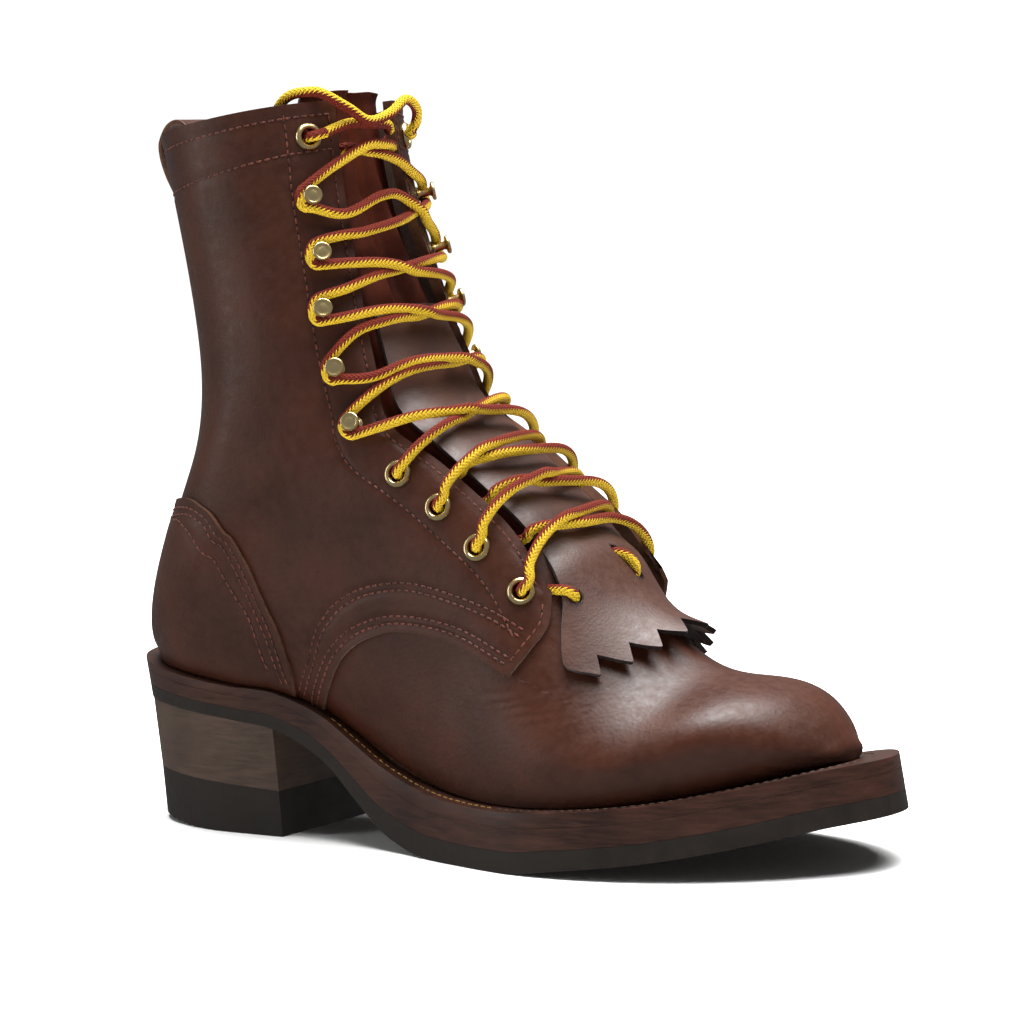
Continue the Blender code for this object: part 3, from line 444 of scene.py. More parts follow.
def braided_lace():
    """Polyester braid, quite matt: two yarns that meet in small teeth, with painted shade in the grooves
    between ribs and a faint painted highlight on their crests.
    """
    material = start_material("braided_lace", Roughness=0.8, Specular_IOR_Level=0.2)
    tube = add(material, "ShaderNodeUVMap", uv_map="UVMap")
    run = add(material, "ShaderNodeSeparateXYZ", {0: tube.outputs[0]})
    along = add(material, "ShaderNodeMath", {0: run.outputs[0], 1: 2 * np.pi / BRAID_PITCH},
                operation="MULTIPLY")
    around = add(material, "ShaderNodeMath", {0: run.outputs[1], 1: 2 * np.pi * BRAID_STRANDS},
                 operation="MULTIPLY")
    ribs = []
    for direction in ("ADD", "SUBTRACT"):
        phase = add(material, "ShaderNodeMath", {0: along.outputs[0], 1: around.outputs[0]},
                    operation=direction)
        ribs.append(add(material, "ShaderNodeMath", {0: phase.outputs[0]}, operation="SINE").outputs[0])
    weave = add(material, "ShaderNodeMath", {0: ribs[0], 1: ribs[1]}, operation="MAXIMUM").outputs[0]
    turns = add(material, "ShaderNodeMath", {0: run.outputs[1], 1: 2 * np.pi}, operation="MULTIPLY")
    half = add(material, "ShaderNodeMath", {0: turns.outputs[0]}, operation="SINE")
    teeth = add(material, "ShaderNodeMath", {0: ribs[0], 1: YARN_TEETH, 2: half.outputs[0]},
                operation="MULTIPLY_ADD")
    yarn = add(material, "ShaderNodeMapRange", {0: teeth.outputs[0], 1: -0.06, 2: 0.06})
    yarns = add(material, "ShaderNodeMix", {0: yarn.outputs[0], 6: colour("#661d0d"), 7: colour("#cca826")},
                data_type="RGBA")
    # Painted shade: the yarn colour is darkened down in the grooves between ribs and lightened a little on
    # their crests
    shade = add(material, "ShaderNodeMapRange", {0: weave, 1: -0.5, 2: 0.9, 3: 0.72, 4: 1.06})
    shaded_yarns = add(material, "ShaderNodeMix", {0: 1.0, 6: yarns.outputs[2], 7: shade.outputs[0]},
               data_type="RGBA", blend_type="MULTIPLY")
    bump = add(material, "ShaderNodeBump", {"Strength": 0.8, "Distance": 0.0003, "Height": weave})
    return feed(material, Base_Color=shaded_yarns.outputs[2], Normal=bump.outputs[0])


BRAID = braided_lace()
print("made", BRAID.name)

# %% [markdown]
# A lace's route is a list of points given on the last: section place, arc from the ridge, lift and
# rise. The tube is a grid rolled round the route; its ribs are raised in the mesh, so they also show in the
# outline. A curve with a bevel would be shorter to write, but its surface could carry no braid.

# %% Tubes along a route
LACE_STATION = 0.46
LACE_SIDES = 20
ROUTE_STEPS = 40
RIB_HEIGHT = 0.1
RIB_MEAN = 0.7
# Turned a little to the outside and the toe, so that both yarns show from there
LACE_FACES = (0.75, -1.3, -0.35)
# The way that the yellow yarn keeps to, and how sharply the lace turns over for it
YELLOW_SIDE = (0.45, 0.0, -0.9)
TURN_SHARPNESS = 3.0
# How far the yarns wander round the lace, in turns, and over what length
WANDER = 0.07
WANDER_LENGTH = 70.0


def route(rows):
    """Even points along rows of section place, arc, lift and rise, and the way out of the boot there."""
    rows = np.array(rows, float)
    at = smooth(np.arange(len(rows)), rows, np.linspace(0, len(rows) - 1, ROUTE_STEPS * len(rows)))
    base = by_arc(at[:, 0], at[:, 1], at[:, 2])
    outs = by_arc(at[:, 0], at[:, 1], at[:, 2] + 1.0) - base
    points = base + np.outer(at[:, 3], [0, 0, 1])
    run = along_line(points)
    even = np.linspace(0, run[-1], int(run[-1] / LACE_STATION) + 1)
    return at_runs(even, run, points), at_runs(even, run, outs)


def lace_tube(points, outs, yellow_side=YELLOW_SIDE, phase=0.0):
    """A braided tube whose seam between the yarns faces out, with the yellow one on the side given."""
    tangents = unit(np.gradient(points, axis=0))
    sideways = unit(np.cross(tangents, outs + np.array(LACE_FACES)))
    normals = np.cross(sideways, tangents)
    length = along_line(points)[-1]
    steps = np.linspace(0, length, len(points))
    facing = sideways @ np.array(yellow_side)
    turned_over = 0.25 * (1 - np.tanh(TURN_SHARPNESS * facing))
    slip = turned_over + WANDER * np.sin(2 * np.pi * steps / WANDER_LENGTH + phase)
    shape = bmesh.new()
    bmesh.ops.create_grid(shape, x_segments=len(points) - 1, y_segments=LACE_SIDES, size=0.5)
    bmesh.ops.translate(shape, verts=shape.verts, vec=(0.5, 0.5, 0.0))
    layer = shape.loops.layers.uv.new("UVMap")
    for face in shape.faces:
        for loop in face.loops:
            a, b, _ = loop.vert.co
            loop[layer].uv = (a * length, b + slip[round(a * (len(points) - 1))])
    a, b, _ = np.array([vertex.co for vertex in shape.verts]).T
    station = np.rint(a * (len(points) - 1)).astype(int)
    braid = 2 * np.pi * a * length / BRAID_PITCH
    twist = 2 * np.pi * BRAID_STRANDS * (b + slip[station])
    rib = np.maximum(np.sin(braid + twist), np.sin(braid - twist))
    radius = (LACE_RADIUS + RIB_HEIGHT * (rib - RIB_MEAN))[:, None]
    around = 2 * np.pi * b[:, None]
    ring = points[station] + radius * (np.cos(around) * normals[station] + np.sin(around) * sideways[station])
    for vertex, spot in zip(shape.verts, metres(ring)):
        vertex.co = spot
    bmesh.ops.remove_doubles(shape, verts=shape.verts, dist=1e-6)
    bmesh.ops.holes_fill(shape, edges=[edge for edge in shape.edges if edge.is_boundary], sides=0)
    bmesh.ops.recalc_face_normals(shape, faces=shape.faces)
    return shape


# %% [markdown]
# Two free ends leave the top eyelets. One runs across the tongue and is tucked behind the inner quarter, the
# other crosses in front of the collar and hangs over it into the shaft.

# %% Free ends of the lace
LACE_ENDS = {
    "lace_end_outer": [(21.33, -23.7, 2.9, 0), (21.5, -14, 3.2, -0.5), (21.5, -4, 3.8, -1),
                       (21.5, 6, 3.2, -1), (21.4, 12, 0.2, -1)],
    "lace_end_inner": [(21.33, 23.7, 2.9, 0), (21.5, 22, 6.2, 0), (21.75, 17, 9.0, 0.3),
                       (21.9, 10, 9.4, 0.5), (21.75, 2, 8.6, -1.8), (21.65, -8, 7.0, -2.6),
                       (21.8, -17, 6.0, 0.4), (22.0, -25, 1.5, 3.2), (22.0, -32, -6.0, 3.6),
                       (22.0, -37, -10.5, 0.5), (22.0, -39, -13.0, -5), (22.0, -39, -14.0, -13)],
}
YELLOW_UP = (0.0, 0.0, 1.0)
for node, rows in LACE_ENDS.items():
    line, outs = route(rows)
    end = piece(f"{node}_braid", lace_tube(line, outs, YELLOW_UP), [BRAID], [node])
    path = [tuple(point) for point in metres(line)]

# %% [markdown]
# Between the eyelets the lace is two strands that cross nine times. At a hook a strand wraps the stem; at an
# eyelet it dives through the ring, runs on behind the quarter and comes out under its edge. The crossings'
# points are those of the solids, joined here into two unbroken strands, and where the strands meet one is
# pushed over the other.

# %% Where the lace is fastened and crosses
# Kind, section place, arc from the ridge, collar to toe
FASTENINGS = [
    ("eyelet", 21.3, 29.0), ("hook", 20.2, 33.0), ("hook", 19.1, 35.0), ("hook", 17.9, 40.0),
    ("hook", 16.2, 43.0), ("hook", 13.8, 45.0), ("eyelet", 11.6, 46.0), ("eyelet", 10.5, 44.5),
    ("eyelet", 9.5, 45.5), ("eyelet", 8.55, 42.0),
]
# Crossings that start from a hook, and those that start from an eyelet below the hooks
FROM_HOOK = range(1, 6)
FROM_LOW_EYELET = range(6, 9)
# Added lift, run from the outside over the other one, run from the inside: section place and arc
CROSSINGS = [
    (0.0, [(20.7, -21), (20.95, -8), (21.0, 4), (21.0, 12.5)],
     [(20.5, 22), (20.7, 10), (20.9, -4), (21.0, -12.5)]),
    (0.0, [(19.7, -22), (19.95, -5), (19.95, 6), (19.55, 20)],
     [(19.75, 23), (19.4, 2), (19.25, -16), (19.3, -26)]),
    (0.0, [(18.6, -24), (18.4, -13), (18.1, 0), (18.05, 20)],
     [(18.55, 20), (18.3, 2), (18.15, -18), (18.1, -30)]),
    (0.0, [(17.3, -30), (17.0, -12), (16.7, 2), (16.6, 22)],
     [(17.2, 22), (16.8, -2), (16.8, -20), (16.85, -32)]),
    (0.0, [(15.2, -32), (15.1, -18), (14.9, 2), (14.6, 24)],
     [(15.2, 26), (14.8, 0), (14.8, -22), (14.65, -34)]),
    (0.0, [(12.6, -33), (12.0, -15), (11.9, 2), (11.75, 24), (11.65, 37)],
     [(12.7, 28), (12.1, -2), (11.8, -20), (11.65, -37)]),
    (0.5, [(10.6, -36), (10.75, -19), (10.9, 2), (11.05, 24)],
     [(10.45, 36), (10.5, 12), (10.55, -10), (10.75, -25)]),
    (0.4, [(9.6, -37), (9.7, -24), (9.75, -4), (9.9, 24)],
     [(9.4, 37), (9.55, 8), (9.8, -12), (9.95, -25)]),
    (-0.4, [(8.7, -34), (8.85, -22), (8.95, -2), (9.1, 24)],
     [(8.65, 34), (8.8, 14), (8.8, -6), (9.0, -25)]),
]
# Lift of the run from the outside and of the one from the inside
RUN_LIFT = (3.4, 2.6)
# Lift where a run ends under a quarter's edge, and over the inner quarter's edge
LIFT_AT_EDGE = 0.2
LIFT_OVER_EDGE = 2.0
LACE_ON_HOOK = 2.6
LACE_BESIDE_HOOK = 4.1
LACE_BEHIND_HOOK = 3.7
# Section place, half gap between the quarters
THROAT = [(8.3, 30.5), (9.5, 30.2), (11.0, 30.8), (12.4, 32.6), (13.8, 31.0), (15.0, 29.2), (16.2, 27.4),
          (18.0, 23.6), (20.0, 18.6), (21.2, 16.6), (22.0, 16.6)]
# Part of a section, from its ridge, that is searched for the quarter's edge
RIDGE_PART = 5 / 9


def throat_table(side):
    """Share down every fine row where the quarter's front edge lies."""
    points = LAST[side][0]
    gaps = read(THROAT, 1, np.linspace(0, COLLAR, len(points)))
    searched = int(FINE_SHARES * RIDGE_PART)
    shares = np.linspace(0, 1, FINE_SHARES)[:searched]
    return np.array([np.interp(gap, np.abs(row[:searched, 1] - row[0, 1]), shares)
                     for gap, row in zip(gaps, points)])


THROAT_SHARES = {side: throat_table(side) for side, _ in SIDES}


def throat_share(place, side):
    """Share down a section of the quarter's front edge."""
    return by_side(THROAT_SHARES, place, side)


def throat_arc(place, side):
    """Arc from the ridge of the quarter's front edge."""
    return throat_share(place, side) / arc_share(place, side, 1.0)


# The inner quarter's edge stands up off the tongue: section place, height
FLARE = [(8.0, 6.5), (8.6, 5.4), (9.6, 3.2), (11.0, 2.6), (12.5, 2.0), (14.0, 0.8), (16.0, 0.0), (22.0, 0.0)]
FLARE_WIDTH = 11.0


def flare(place, arc):
    """How far the inner quarter stands off the last, most of all at its edge."""
    inset = np.clip((arc - throat_arc(place, 1)) / FLARE_WIDTH, 0, 1)
    return np.where(np.asarray(arc) > 0, read(FLARE, 1, place) * (1 - inset) ** 2, 0.0)


print("throat half gap at the collar along the leather: %.1f mm" % throat_arc(COLLAR, -1))


# %% Rows of a strand at a hook and at an eyelet
HOOK_ANGLES = np.radians([-90, -40, 0, 40, 90])
# Shift along the sections, arc from the hole towards the throat, lift
TOP_EYELET = [(0.03, 5.3, 2.9), (0.0, 1.5, 2.4), (0.0, 0.0, -1.2), (0.0, 1.5, -5.2)]
LOW_EYELET = [(0.0, 4.4, 2.9), (0.0, 0.6, 1.8), (0.0, 0.0, -1.8), (0.0, 0.8, -5.4)]
# Arc behind the quarter's edge and lift, at two places on the way out, then the lift half way to the run
BEHIND_EDGE = [(6.0, -7.0), (1.0, -6.6)]
LIFT_TO_RUN = -3.2
# A run over the inner quarter's edge clears the flare this far behind it
PAST_EDGE = 0.5


def round_hook(number, side):
    """Rows that wrap the stem of a hook, coming from the run above it."""
    _, section, arc = FASTENINGS[number]
    share = arc_share(section, side, arc)
    upward = on_last(section + 0.5, share, side) - on_last(section - 0.5, share, side)
    around = on_last(section, share + 0.01, side) - on_last(section, share - 0.01, side)
    step = LACE_BESIDE_HOOK * np.linalg.norm(around) / np.linalg.norm(np.cross(upward, around))
    rows = []
    for angle in HOOK_ANGLES:
        behind = side * (arc + LACE_BEHIND_HOOK * np.cos(angle))
        rows.append((section - step * np.sin(angle), behind, LACE_ON_HOOK, 0.0))
    return rows


def through_eyelet(number, side, profile):
    """Rows that dive through an eyelet, from the outside to the inside of the quarter."""
    _, section, arc = FASTENINGS[number]
    return [(section + shift, side * (arc - inset), lift, 0.0) for shift, inset, lift in profile]


def into_low_eyelet(number, side):
    """Rows through an eyelet below the hooks, the first one raised over the quarter's flare."""
    (section, arc, lift, rise), *others = through_eyelet(number, side, LOW_EYELET)
    return [(section, arc, lift + float(flare(section, arc)), rise), *others]


def under_edge(number, side, run_end):
    """Rows from behind an eyelet, under the quarter's edge and out to the end of a run."""
    _, section, _ = FASTENINGS[number]
    edge = float(throat_arc(section, side))
    place, arc = run_end
    between = (section + place) / 2
    rows = [(at, side * (edge + behind), lift, 0.0)
            for at, (behind, lift) in zip((between, (between + place) / 2), BEHIND_EDGE)]
    return rows + [(place, (arc + side * edge) / 2, LIFT_TO_RUN, 0.0)]


def run_rows(number, which):
    """Rows of one run, raised where it climbs over the inner quarter and low where it ends under one."""
    lift, *runs = CROSSINGS[number]
    rows = []
    for section, arc in runs[which]:
        edge = float(throat_arc(section, 1))
        over = RUN_LIFT[which] + lift
        if arc > edge:
            over = LIFT_OVER_EDGE + float(flare(section, edge + PAST_EDGE))
        rows.append((section, arc, over, 0.0))
    if number not in FROM_HOOK:
        rows[-1] = (*runs[which][-1], LIFT_AT_EDGE, 0.0)
    return rows


def from_eyelet(number, side):
    """Rows from behind an eyelet, out under the quarter's edge and along a run to the other side."""
    which = 1 if side < 0 else 0
    return under_edge(number, side, CROSSINGS[number][1 + which][-1]) + run_rows(number, which)[::-1]


def strand(side):
    """One strand from a top eyelet down to a lowest one, with the first hook on the side given."""
    rows = through_eyelet(0, -side, TOP_EYELET) + from_eyelet(0, -side)
    for number in FROM_HOOK:
        rows += round_hook(number, side) + run_rows(number, 0 if side < 0 else 1)
        side = -side
    for number in FROM_LOW_EYELET:
        rows += into_low_eyelet(number, side) + from_eyelet(number, side)
        side = -side
    return route(rows + into_low_eyelet(len(FASTENINGS) - 1, side))


# %% Laying one strand over the other
LACE_CLEARANCE = 0.1
# Half length of the stretch that is pushed aside, and stations each way in which a meeting is the closest
PUSH_REACH = 6.5
MEETING_STATIONS = 25
# Part of the push that each strand takes
PUSH_PARTS = (0.55, -0.45)


def search_tree(points):
    """Points sorted for finding the nearest one."""
    tree = KDTree(len(points))
    for k, point in enumerate(points):
        tree.insert(point, k)
    tree.balance()
    return tree


def lay_over(first_line, second_line):
    """Pushes two strands apart wherever they would run into each other, the one further out on top."""
    room = 2 * LACE_RADIUS + LACE_CLEARANCE
    tree = search_tree(second_line)
    near = [tree.find(point) for point in first_line]
    gaps = np.array([found[2] for found in near])
    lines = (first_line, second_line)
    moves = [np.zeros_like(line) for line in lines]
    meetings = 0
    for k in range(1, len(gaps) - 1):
        if gaps[k] < room and gaps[k] <= gaps[max(k - MEETING_STATIONS, 0):k + MEETING_STATIONS + 1].min():
            m = near[k][1]
            out = unit(np.cross(first_line[k + 1] - first_line[k - 1],
                                second_line[min(m + 1, len(second_line) - 1)] - second_line[m - 1]))
            out = out * np.sign(out[0] + out[2])
            height = (first_line[k] - second_line[m]).dot(out)
            over = np.sign(height) if height else 1.0
            need = room - abs(height)
            for line, move, centre, part in zip(lines, moves, (k, m), PUSH_PARTS):
                steps = (np.arange(len(line)) - centre) * LACE_STATION
                move += np.exp(-(steps / PUSH_REACH) ** 2)[:, None] * out * need * part * over
            meetings += 1
    print("lace crossings laid over each other:", meetings)
    return [line + move for line, move in zip(lines, moves)]


# %% The two strands
ROUTES = [strand(side) for side, _ in SIDES]
STRANDS = lay_over(ROUTES[0][0], ROUTES[1][0])
CROSSING_NODES = [f"lace_crossing_{number + 1}" for number in range(len(CROSSINGS))]
# Where each strand is in its wandering
PHASES = {"lace_strand_first": 0.0, "lace_strand_second": 2.0}
for (name, phase), line, (_, outs) in zip(PHASES.items(), STRANDS, ROUTES):
    piece(name, lace_tube(line, outs, phase=phase), [BRAID], CROSSING_NODES)

# %% [markdown]
# The kiltie is held by the lace too. On the outside a short bit comes from behind the lowest eyelet and goes
# down through a hole in the kiltie; past the middle another comes up through one hole and down through the
# next. Only these two bits show.

# %% Lace through the kiltie
KILTIE_HOLES = [(7.98, -25.6), (8.33, 5.0), (7.96, 8.4)]
KILTIE_BITS = [
    [(8.5, -36, -5.4, 0), (8.36, -33, -4.0, 0), (8.25, -30.5, -0.9, 0), (8.13, -28, 2.4, 0),
     (8.03, -26.3, 2.5, 0), (7.98, -25.6, 0, 0), (7.98, -25.4, -3.0, 0)],
    [(8.35, 4.4, -2.2, 0), (8.30, 5.2, 1.2, 0), (8.20, 6.6, 3.0, 0), (8.07, 7.7, 3.0, 0),
     (7.98, 8.3, 1.0, 0), (7.96, 8.5, -2.4, 0)],
]
for number, rows in enumerate(KILTIE_BITS):
    piece(f"lace_through_kiltie_{number + 1}", lace_tube(*route(rows)), [BRAID])

# %% [markdown]
# Eyelets and hooks are brass: pressed rings rolled over at the rim, and studs with a dished head that the
# lace wraps behind. Each is a profile of radius and height turned round an axis with spin, then stood on the
# leather. Polished brass needs little texture; fine scratches and a darker tarnish keep it from looking like
# plastic.

# %% Brass
def polished_brass():
    """Pressed and polished brass: warm mirror, with tarnish in soft patches and fine wear marks."""
    material = start_material("polished_brass", Metallic=1.0)
    place = add(material, "ShaderNodeTexCoord").outputs["Object"]
    patches = add(material, "ShaderNodeTexNoise", {"Vector": place, "Scale": per_mm(3.0), "Detail": 4.0})
    marks = add(material, "ShaderNodeTexNoise", {"Vector": place, "Scale": per_mm(0.5), "Detail": 2.0})
    tarnish = patches.outputs["Fac"]
    tone = add(material, "ShaderNodeMix", {0: tarnish, 6: colour("#c2a565"), 7: colour("#efdcab")},
               data_type="RGBA")
    dull = add(material, "ShaderNodeMapRange", {0: tarnish, 1: 0.3, 2: 0.7, 3: 0.34, 4: 0.16})
    bump = add(material, "ShaderNodeBump",
               {"Strength": 0.12, "Distance": 0.0001, "Height": marks.outputs["Fac"]})
    return feed(material, Base_Color=tone.outputs[2], Roughness=dull.outputs[0], Normal=bump.outputs[0])


BRASS = polished_brass()
print("made", BRASS.name)

# %% Eyelets and hooks
EYELET_HOLE = 2.75
# Radius and height over the leather
EYELET_PROFILE = [(EYELET_HOLE, -3.9), (EYELET_HOLE, 0.3), (2.9, 0.95), (3.3, 1.4), (3.8, 1.5), (4.35, 1.3),
                  (4.8, 0.7), (4.95, 0.02), (3.2, -0.1), (3.2, -3.9)]
HOOK_PROFILE = [(0.0, 0.02), (2.7, 0.02), (2.8, 0.3), (2.3, 0.6), (1.6, 0.9), (1.45, 1.6), (1.45, 4.7),
                (1.8, 5.2), (2.9, 5.4), (3.3, 5.7), (3.4, 6.1), (3.3, 6.5), (3.0, 6.75), (2.6, 6.7),
                (2.3, 6.5), (1.4, 6.7), (0.6, 6.8), (0.0, 6.82)]
TURNED_STEPS = 32


def turned(profile, closed):
    """A profile of radius and height turned about Z."""
    shape = bmesh.new()
    ring = [shape.verts.new((radius / 1000, 0.0, height / 1000)) for radius, height in profile]
    line = [shape.edges.new(pair) for pair in zip(ring, ring[1:])]
    if closed:
        line.append(shape.edges.new((ring[-1], ring[0])))
    bmesh.ops.spin(shape, geom=ring + line, cent=(0, 0, 0), axis=(0, 0, 1), steps=TURNED_STEPS,
                   angle=2 * np.pi, use_merge=True)
    bmesh.ops.remove_doubles(shape, verts=shape.verts, dist=1e-6)
    bmesh.ops.recalc_face_normals(shape, faces=shape.faces)
    return shape


def seat(number, side):
    """Matrix that stands a turned piece on the quarter at a fastening."""
    _, section, arc = FASTENINGS[number]
    lift = float(quarter_outside(section))
    foot, above = by_arc(np.array([section] * 2), np.array([side * arc] * 2), np.array([lift, lift + 1.0]))
    upright = Vector(above - foot).to_track_quat("Z", "Y").to_matrix().to_4x4()
    return Matrix.Translation(metres(foot)) @ upright


counts = {}
for number, (kind, _, _) in enumerate(FASTENINGS):
    counts[kind] = counts.get(kind, 0) + 1
    for side, label in SIDES:
        metal = turned(EYELET_PROFILE if kind == "eyelet" else HOOK_PROFILE, kind == "eyelet")
        bmesh.ops.transform(metal, matrix=seat(number, side), verts=metal.verts)
        node = f"{kind}_{label}_{counts[kind]}"
        piece(f"brass_{node}", metal, [BRASS], [node], sharp=60)

# %% [markdown]
# The uppers are oiled cowhide. Seen close, it is a warm brown that wanders between a darker and a redder
# tone, with a pebble of fine pores, shallow wrinkles and a waxy gloss that is broken where the wax has rubbed
# off. Each of these is one pattern at its real size; one photograph as a texture would slide and could not be
# resized.

# %% Leathers of the upper
def oiled_leather(name, dark, warm, gloss=0.43, pore=1.3, shine=0.31):
    """Oiled cowhide, drum dyed and waxed: soft highlights broken by pores and fine wrinkles."""
    material = start_material(name, IOR=1.45, Specular_IOR_Level=shine)
    place = add(material, "ShaderNodeTexCoord").outputs["Object"]
    clouds = add(material, "ShaderNodeTexNoise", {"Vector": place, "Scale": per_mm(26), "Detail": 5.0})
    mottle = add(material, "ShaderNodeTexNoise",
                 {"Vector": place, "Scale": per_mm(3.2), "Detail": 4.0}).outputs["Fac"]
    both = add(material, "ShaderNodeMath", {0: mottle, 1: 0.45, 2: clouds.outputs["Fac"]},
               operation="MULTIPLY_ADD")
    spread = add(material, "ShaderNodeMapRange", {0: both.outputs[0], 1: 0.5, 2: 0.95})
    tone = add(material, "ShaderNodeMix", {0: spread.outputs[0], 6: colour(dark), 7: colour(warm)},
               data_type="RGBA")
    rough = add(material, "ShaderNodeMapRange",
                {0: mottle, 1: 0.3, 2: 0.7, 3: gloss - 0.07, 4: gloss + 0.09})
    wrinkles = add(material, "ShaderNodeTexNoise",
                   {"Vector": place, "Scale": per_mm(5.5), "Detail": 6.0, "Distortion": 0.8})
    pores = add(material, "ShaderNodeTexVoronoi", {"Vector": place, "Scale": per_mm(pore)},
                feature="SMOOTH_F1")
    folds = add(material, "ShaderNodeBump",
                {"Strength": 0.07, "Distance": 0.0006, "Height": wrinkles.outputs["Fac"]})
    grain = add(material, "ShaderNodeBump",
                {"Strength": 0.28, "Distance": 0.0002, "Height": pores.outputs["Distance"],
                 "Normal": folds.outputs[0]})
    return feed(material, Base_Color=tone.outputs[2], Roughness=rough.outputs[0], Normal=grain.outputs[0])


def flesh_side(name, dark, light):
    """The rough inner face of the hide: short nap, no gloss, blotched where it was shaved."""
    material = start_material(name, Roughness=0.92, Specular_IOR_Level=0.2, Sheen_Weight=0.12)
    place = add(material, "ShaderNodeTexCoord").outputs["Object"]
    nap = add(material, "ShaderNodeTexNoise",
              {"Vector": place, "Scale": per_mm(1.6), "Detail": 8.0, "Roughness": 0.7}).outputs["Fac"]
    blotch = add(material, "ShaderNodeTexNoise", {"Vector": place, "Scale": per_mm(12), "Detail": 3.0})
    both = add(material, "ShaderNodeMath", {0: nap, 1: 0.8, 2: blotch.outputs["Fac"]},
               operation="MULTIPLY_ADD")
    spread = add(material, "ShaderNodeMapRange", {0: both.outputs[0], 1: 0.6, 2: 1.2})
    tone = add(material, "ShaderNodeMix", {0: spread.outputs[0], 6: colour(dark), 7: colour(light)},
               data_type="RGBA")
    bump = add(material, "ShaderNodeBump", {"Strength": 0.5, "Distance": 0.0004, "Height": nap})
    return feed(material, Base_Color=tone.outputs[2], Normal=bump.outputs[0])


LEATHER = oiled_leather("oiled_brown_leather", "#2e1409", "#3d1c0d")
TONGUE_LEATHER = oiled_leather("soft_tongue_leather", "#35140b", "#4c2013", gloss=0.55, pore=1.0, shine=0.12)
KILTIE_LEATHER = oiled_leather("satin_kiltie_leather", "#351c14", "#44271b", gloss=0.46, pore=0.9, shine=0.4)
SUEDE = flesh_side("shaved_flesh_side", "#301a10", "#5e3c28")
CUT_EDGE = flesh_side("cut_leather_edge", "#301a10", "#583622")
# Dark stained cut edges; the same dark finish is also the painted shade in the needle holes beside the
# stitches
DARK_EDGE_AND_HOLE_SHADE = flesh_side("dark_cut_edge_and_hole_shade", "#0d0705", "#22140e")
# Finishes of a sheet's outer face, inner face and edge
HIDE = [LEATHER, SUEDE, CUT_EDGE]
print("leathers:", LEATHER.name, TONGUE_LEATHER.name, KILTIE_LEATHER.name)

# %% [markdown]
# A piece of leather is a sheet with two faces and a cut edge. A flat grid is extruded once, and each of its
# points is then carried to its place on the last, inside or outside, so the thickness is true everywhere.
# Solidify would be shorter, but it bulges where a sheet turns tightly, as at the toe.

# %% Sheets of leather
# Air between two layers, so that their faces stay apart
LAYER_GAP = 0.08


def leather_sheet(along, across, place, gone=None, weld=None):
    """Lays out a two-sided grid by place(a, b, level).

    Faces get finish 0 outside, 1 inside and 2 on the edge.
    """
    shape = bmesh.new()
    bmesh.ops.create_grid(shape, x_segments=along, y_segments=across, size=0.5)
    bmesh.ops.translate(shape, verts=shape.verts, vec=(0.5, 0.5, 0.0))
    if gone:
        centres = np.array([face.calc_center_median() for face in shape.faces])
        left_out = gone(centres[:, 0], centres[:, 1])
        faces = [face for face, out in zip(shape.faces, left_out) if out]
        bmesh.ops.delete(shape, geom=faces, context="FACES")
    if weld:
        bmesh.ops.weld_verts(shape, targetmap=weld(shape.verts))
    raised = bmesh.ops.extrude_face_region(shape, geom=shape.faces[:])["geom"]
    bmesh.ops.translate(shape, verts=[item for item in raised if isinstance(item, bmesh.types.BMVert)],
                        vec=(0.0, 0.0, 1.0))
    for face in shape.faces:
        levels = {round(vertex.co.z) for vertex in face.verts}
        face.material_index = 2 if len(levels) == 2 else 1 - levels.pop()
    flat = np.array([vertex.co for vertex in shape.verts])
    for vertex, spot in zip(shape.verts, metres(place(*flat.T))):
        vertex.co = spot
    bmesh.ops.remove_doubles(shape, verts=shape.verts, dist=1e-6)
    bmesh.ops.recalc_face_normals(shape, faces=shape.faces)
    return shape


def round_edges(thing, width):
    """Takes the knife-sharp look off cut edges."""
    bevel = thing.modifiers.new("rounded edges", "BEVEL")
    bevel.width = width / 1000
    bevel.segments = 2
    bevel.limit_method = "ANGLE"
    bevel.angle_limit = np.radians(50)


def above_welt(points):
    """Points of the upper, kept on top of the welt."""
    points[:, 2] = np.maximum(points[:, 2], welt_top(points[:, 0]) + SEAT)
    return points


# %% [markdown]
# The quarters are the two side pieces. Their front edge runs down the throat, turns at the tab and sweeps
# back to the welt. A table gives that edge; the tab's tip is a sharp corner, so the edge is read as two
# smooth stretches. Lines of stitches follow the edges at a sewing foot's distance, so they are found by
# moving an edge sideways over the surface.

# %% Edge of the quarters and lines beside it
THROAT_GRID = 0.25
TIP_GRID = 0.5
SIDE_STEP = 1.5
# Grid share from ridge to welt, section place, share down the section
TAB_EDGE = [(0.250, 8.25, 0.275), (0.333, 8.00, 0.360), (0.417, 8.02, 0.470), (0.500, 8.10, 0.562)]
LOWER_EDGE = [(0.500, 8.10, 0.562), (0.583, 9.10, 0.580), (0.667, 9.95, 0.640), (0.750, 10.40, 0.715),
              (0.833, 10.60, 0.800), (0.917, 10.62, 0.900), (1.000, 10.60, 1.000)]


def quarter_edge(grid_share):
    """Section place and share of the quarters' front edge."""
    grid_share = np.asarray(grid_share, float)
    return [np.where(grid_share < TIP_GRID, read(TAB_EDGE, k, grid_share), read(LOWER_EDGE, k, grid_share))
            for k in (1, 2)]


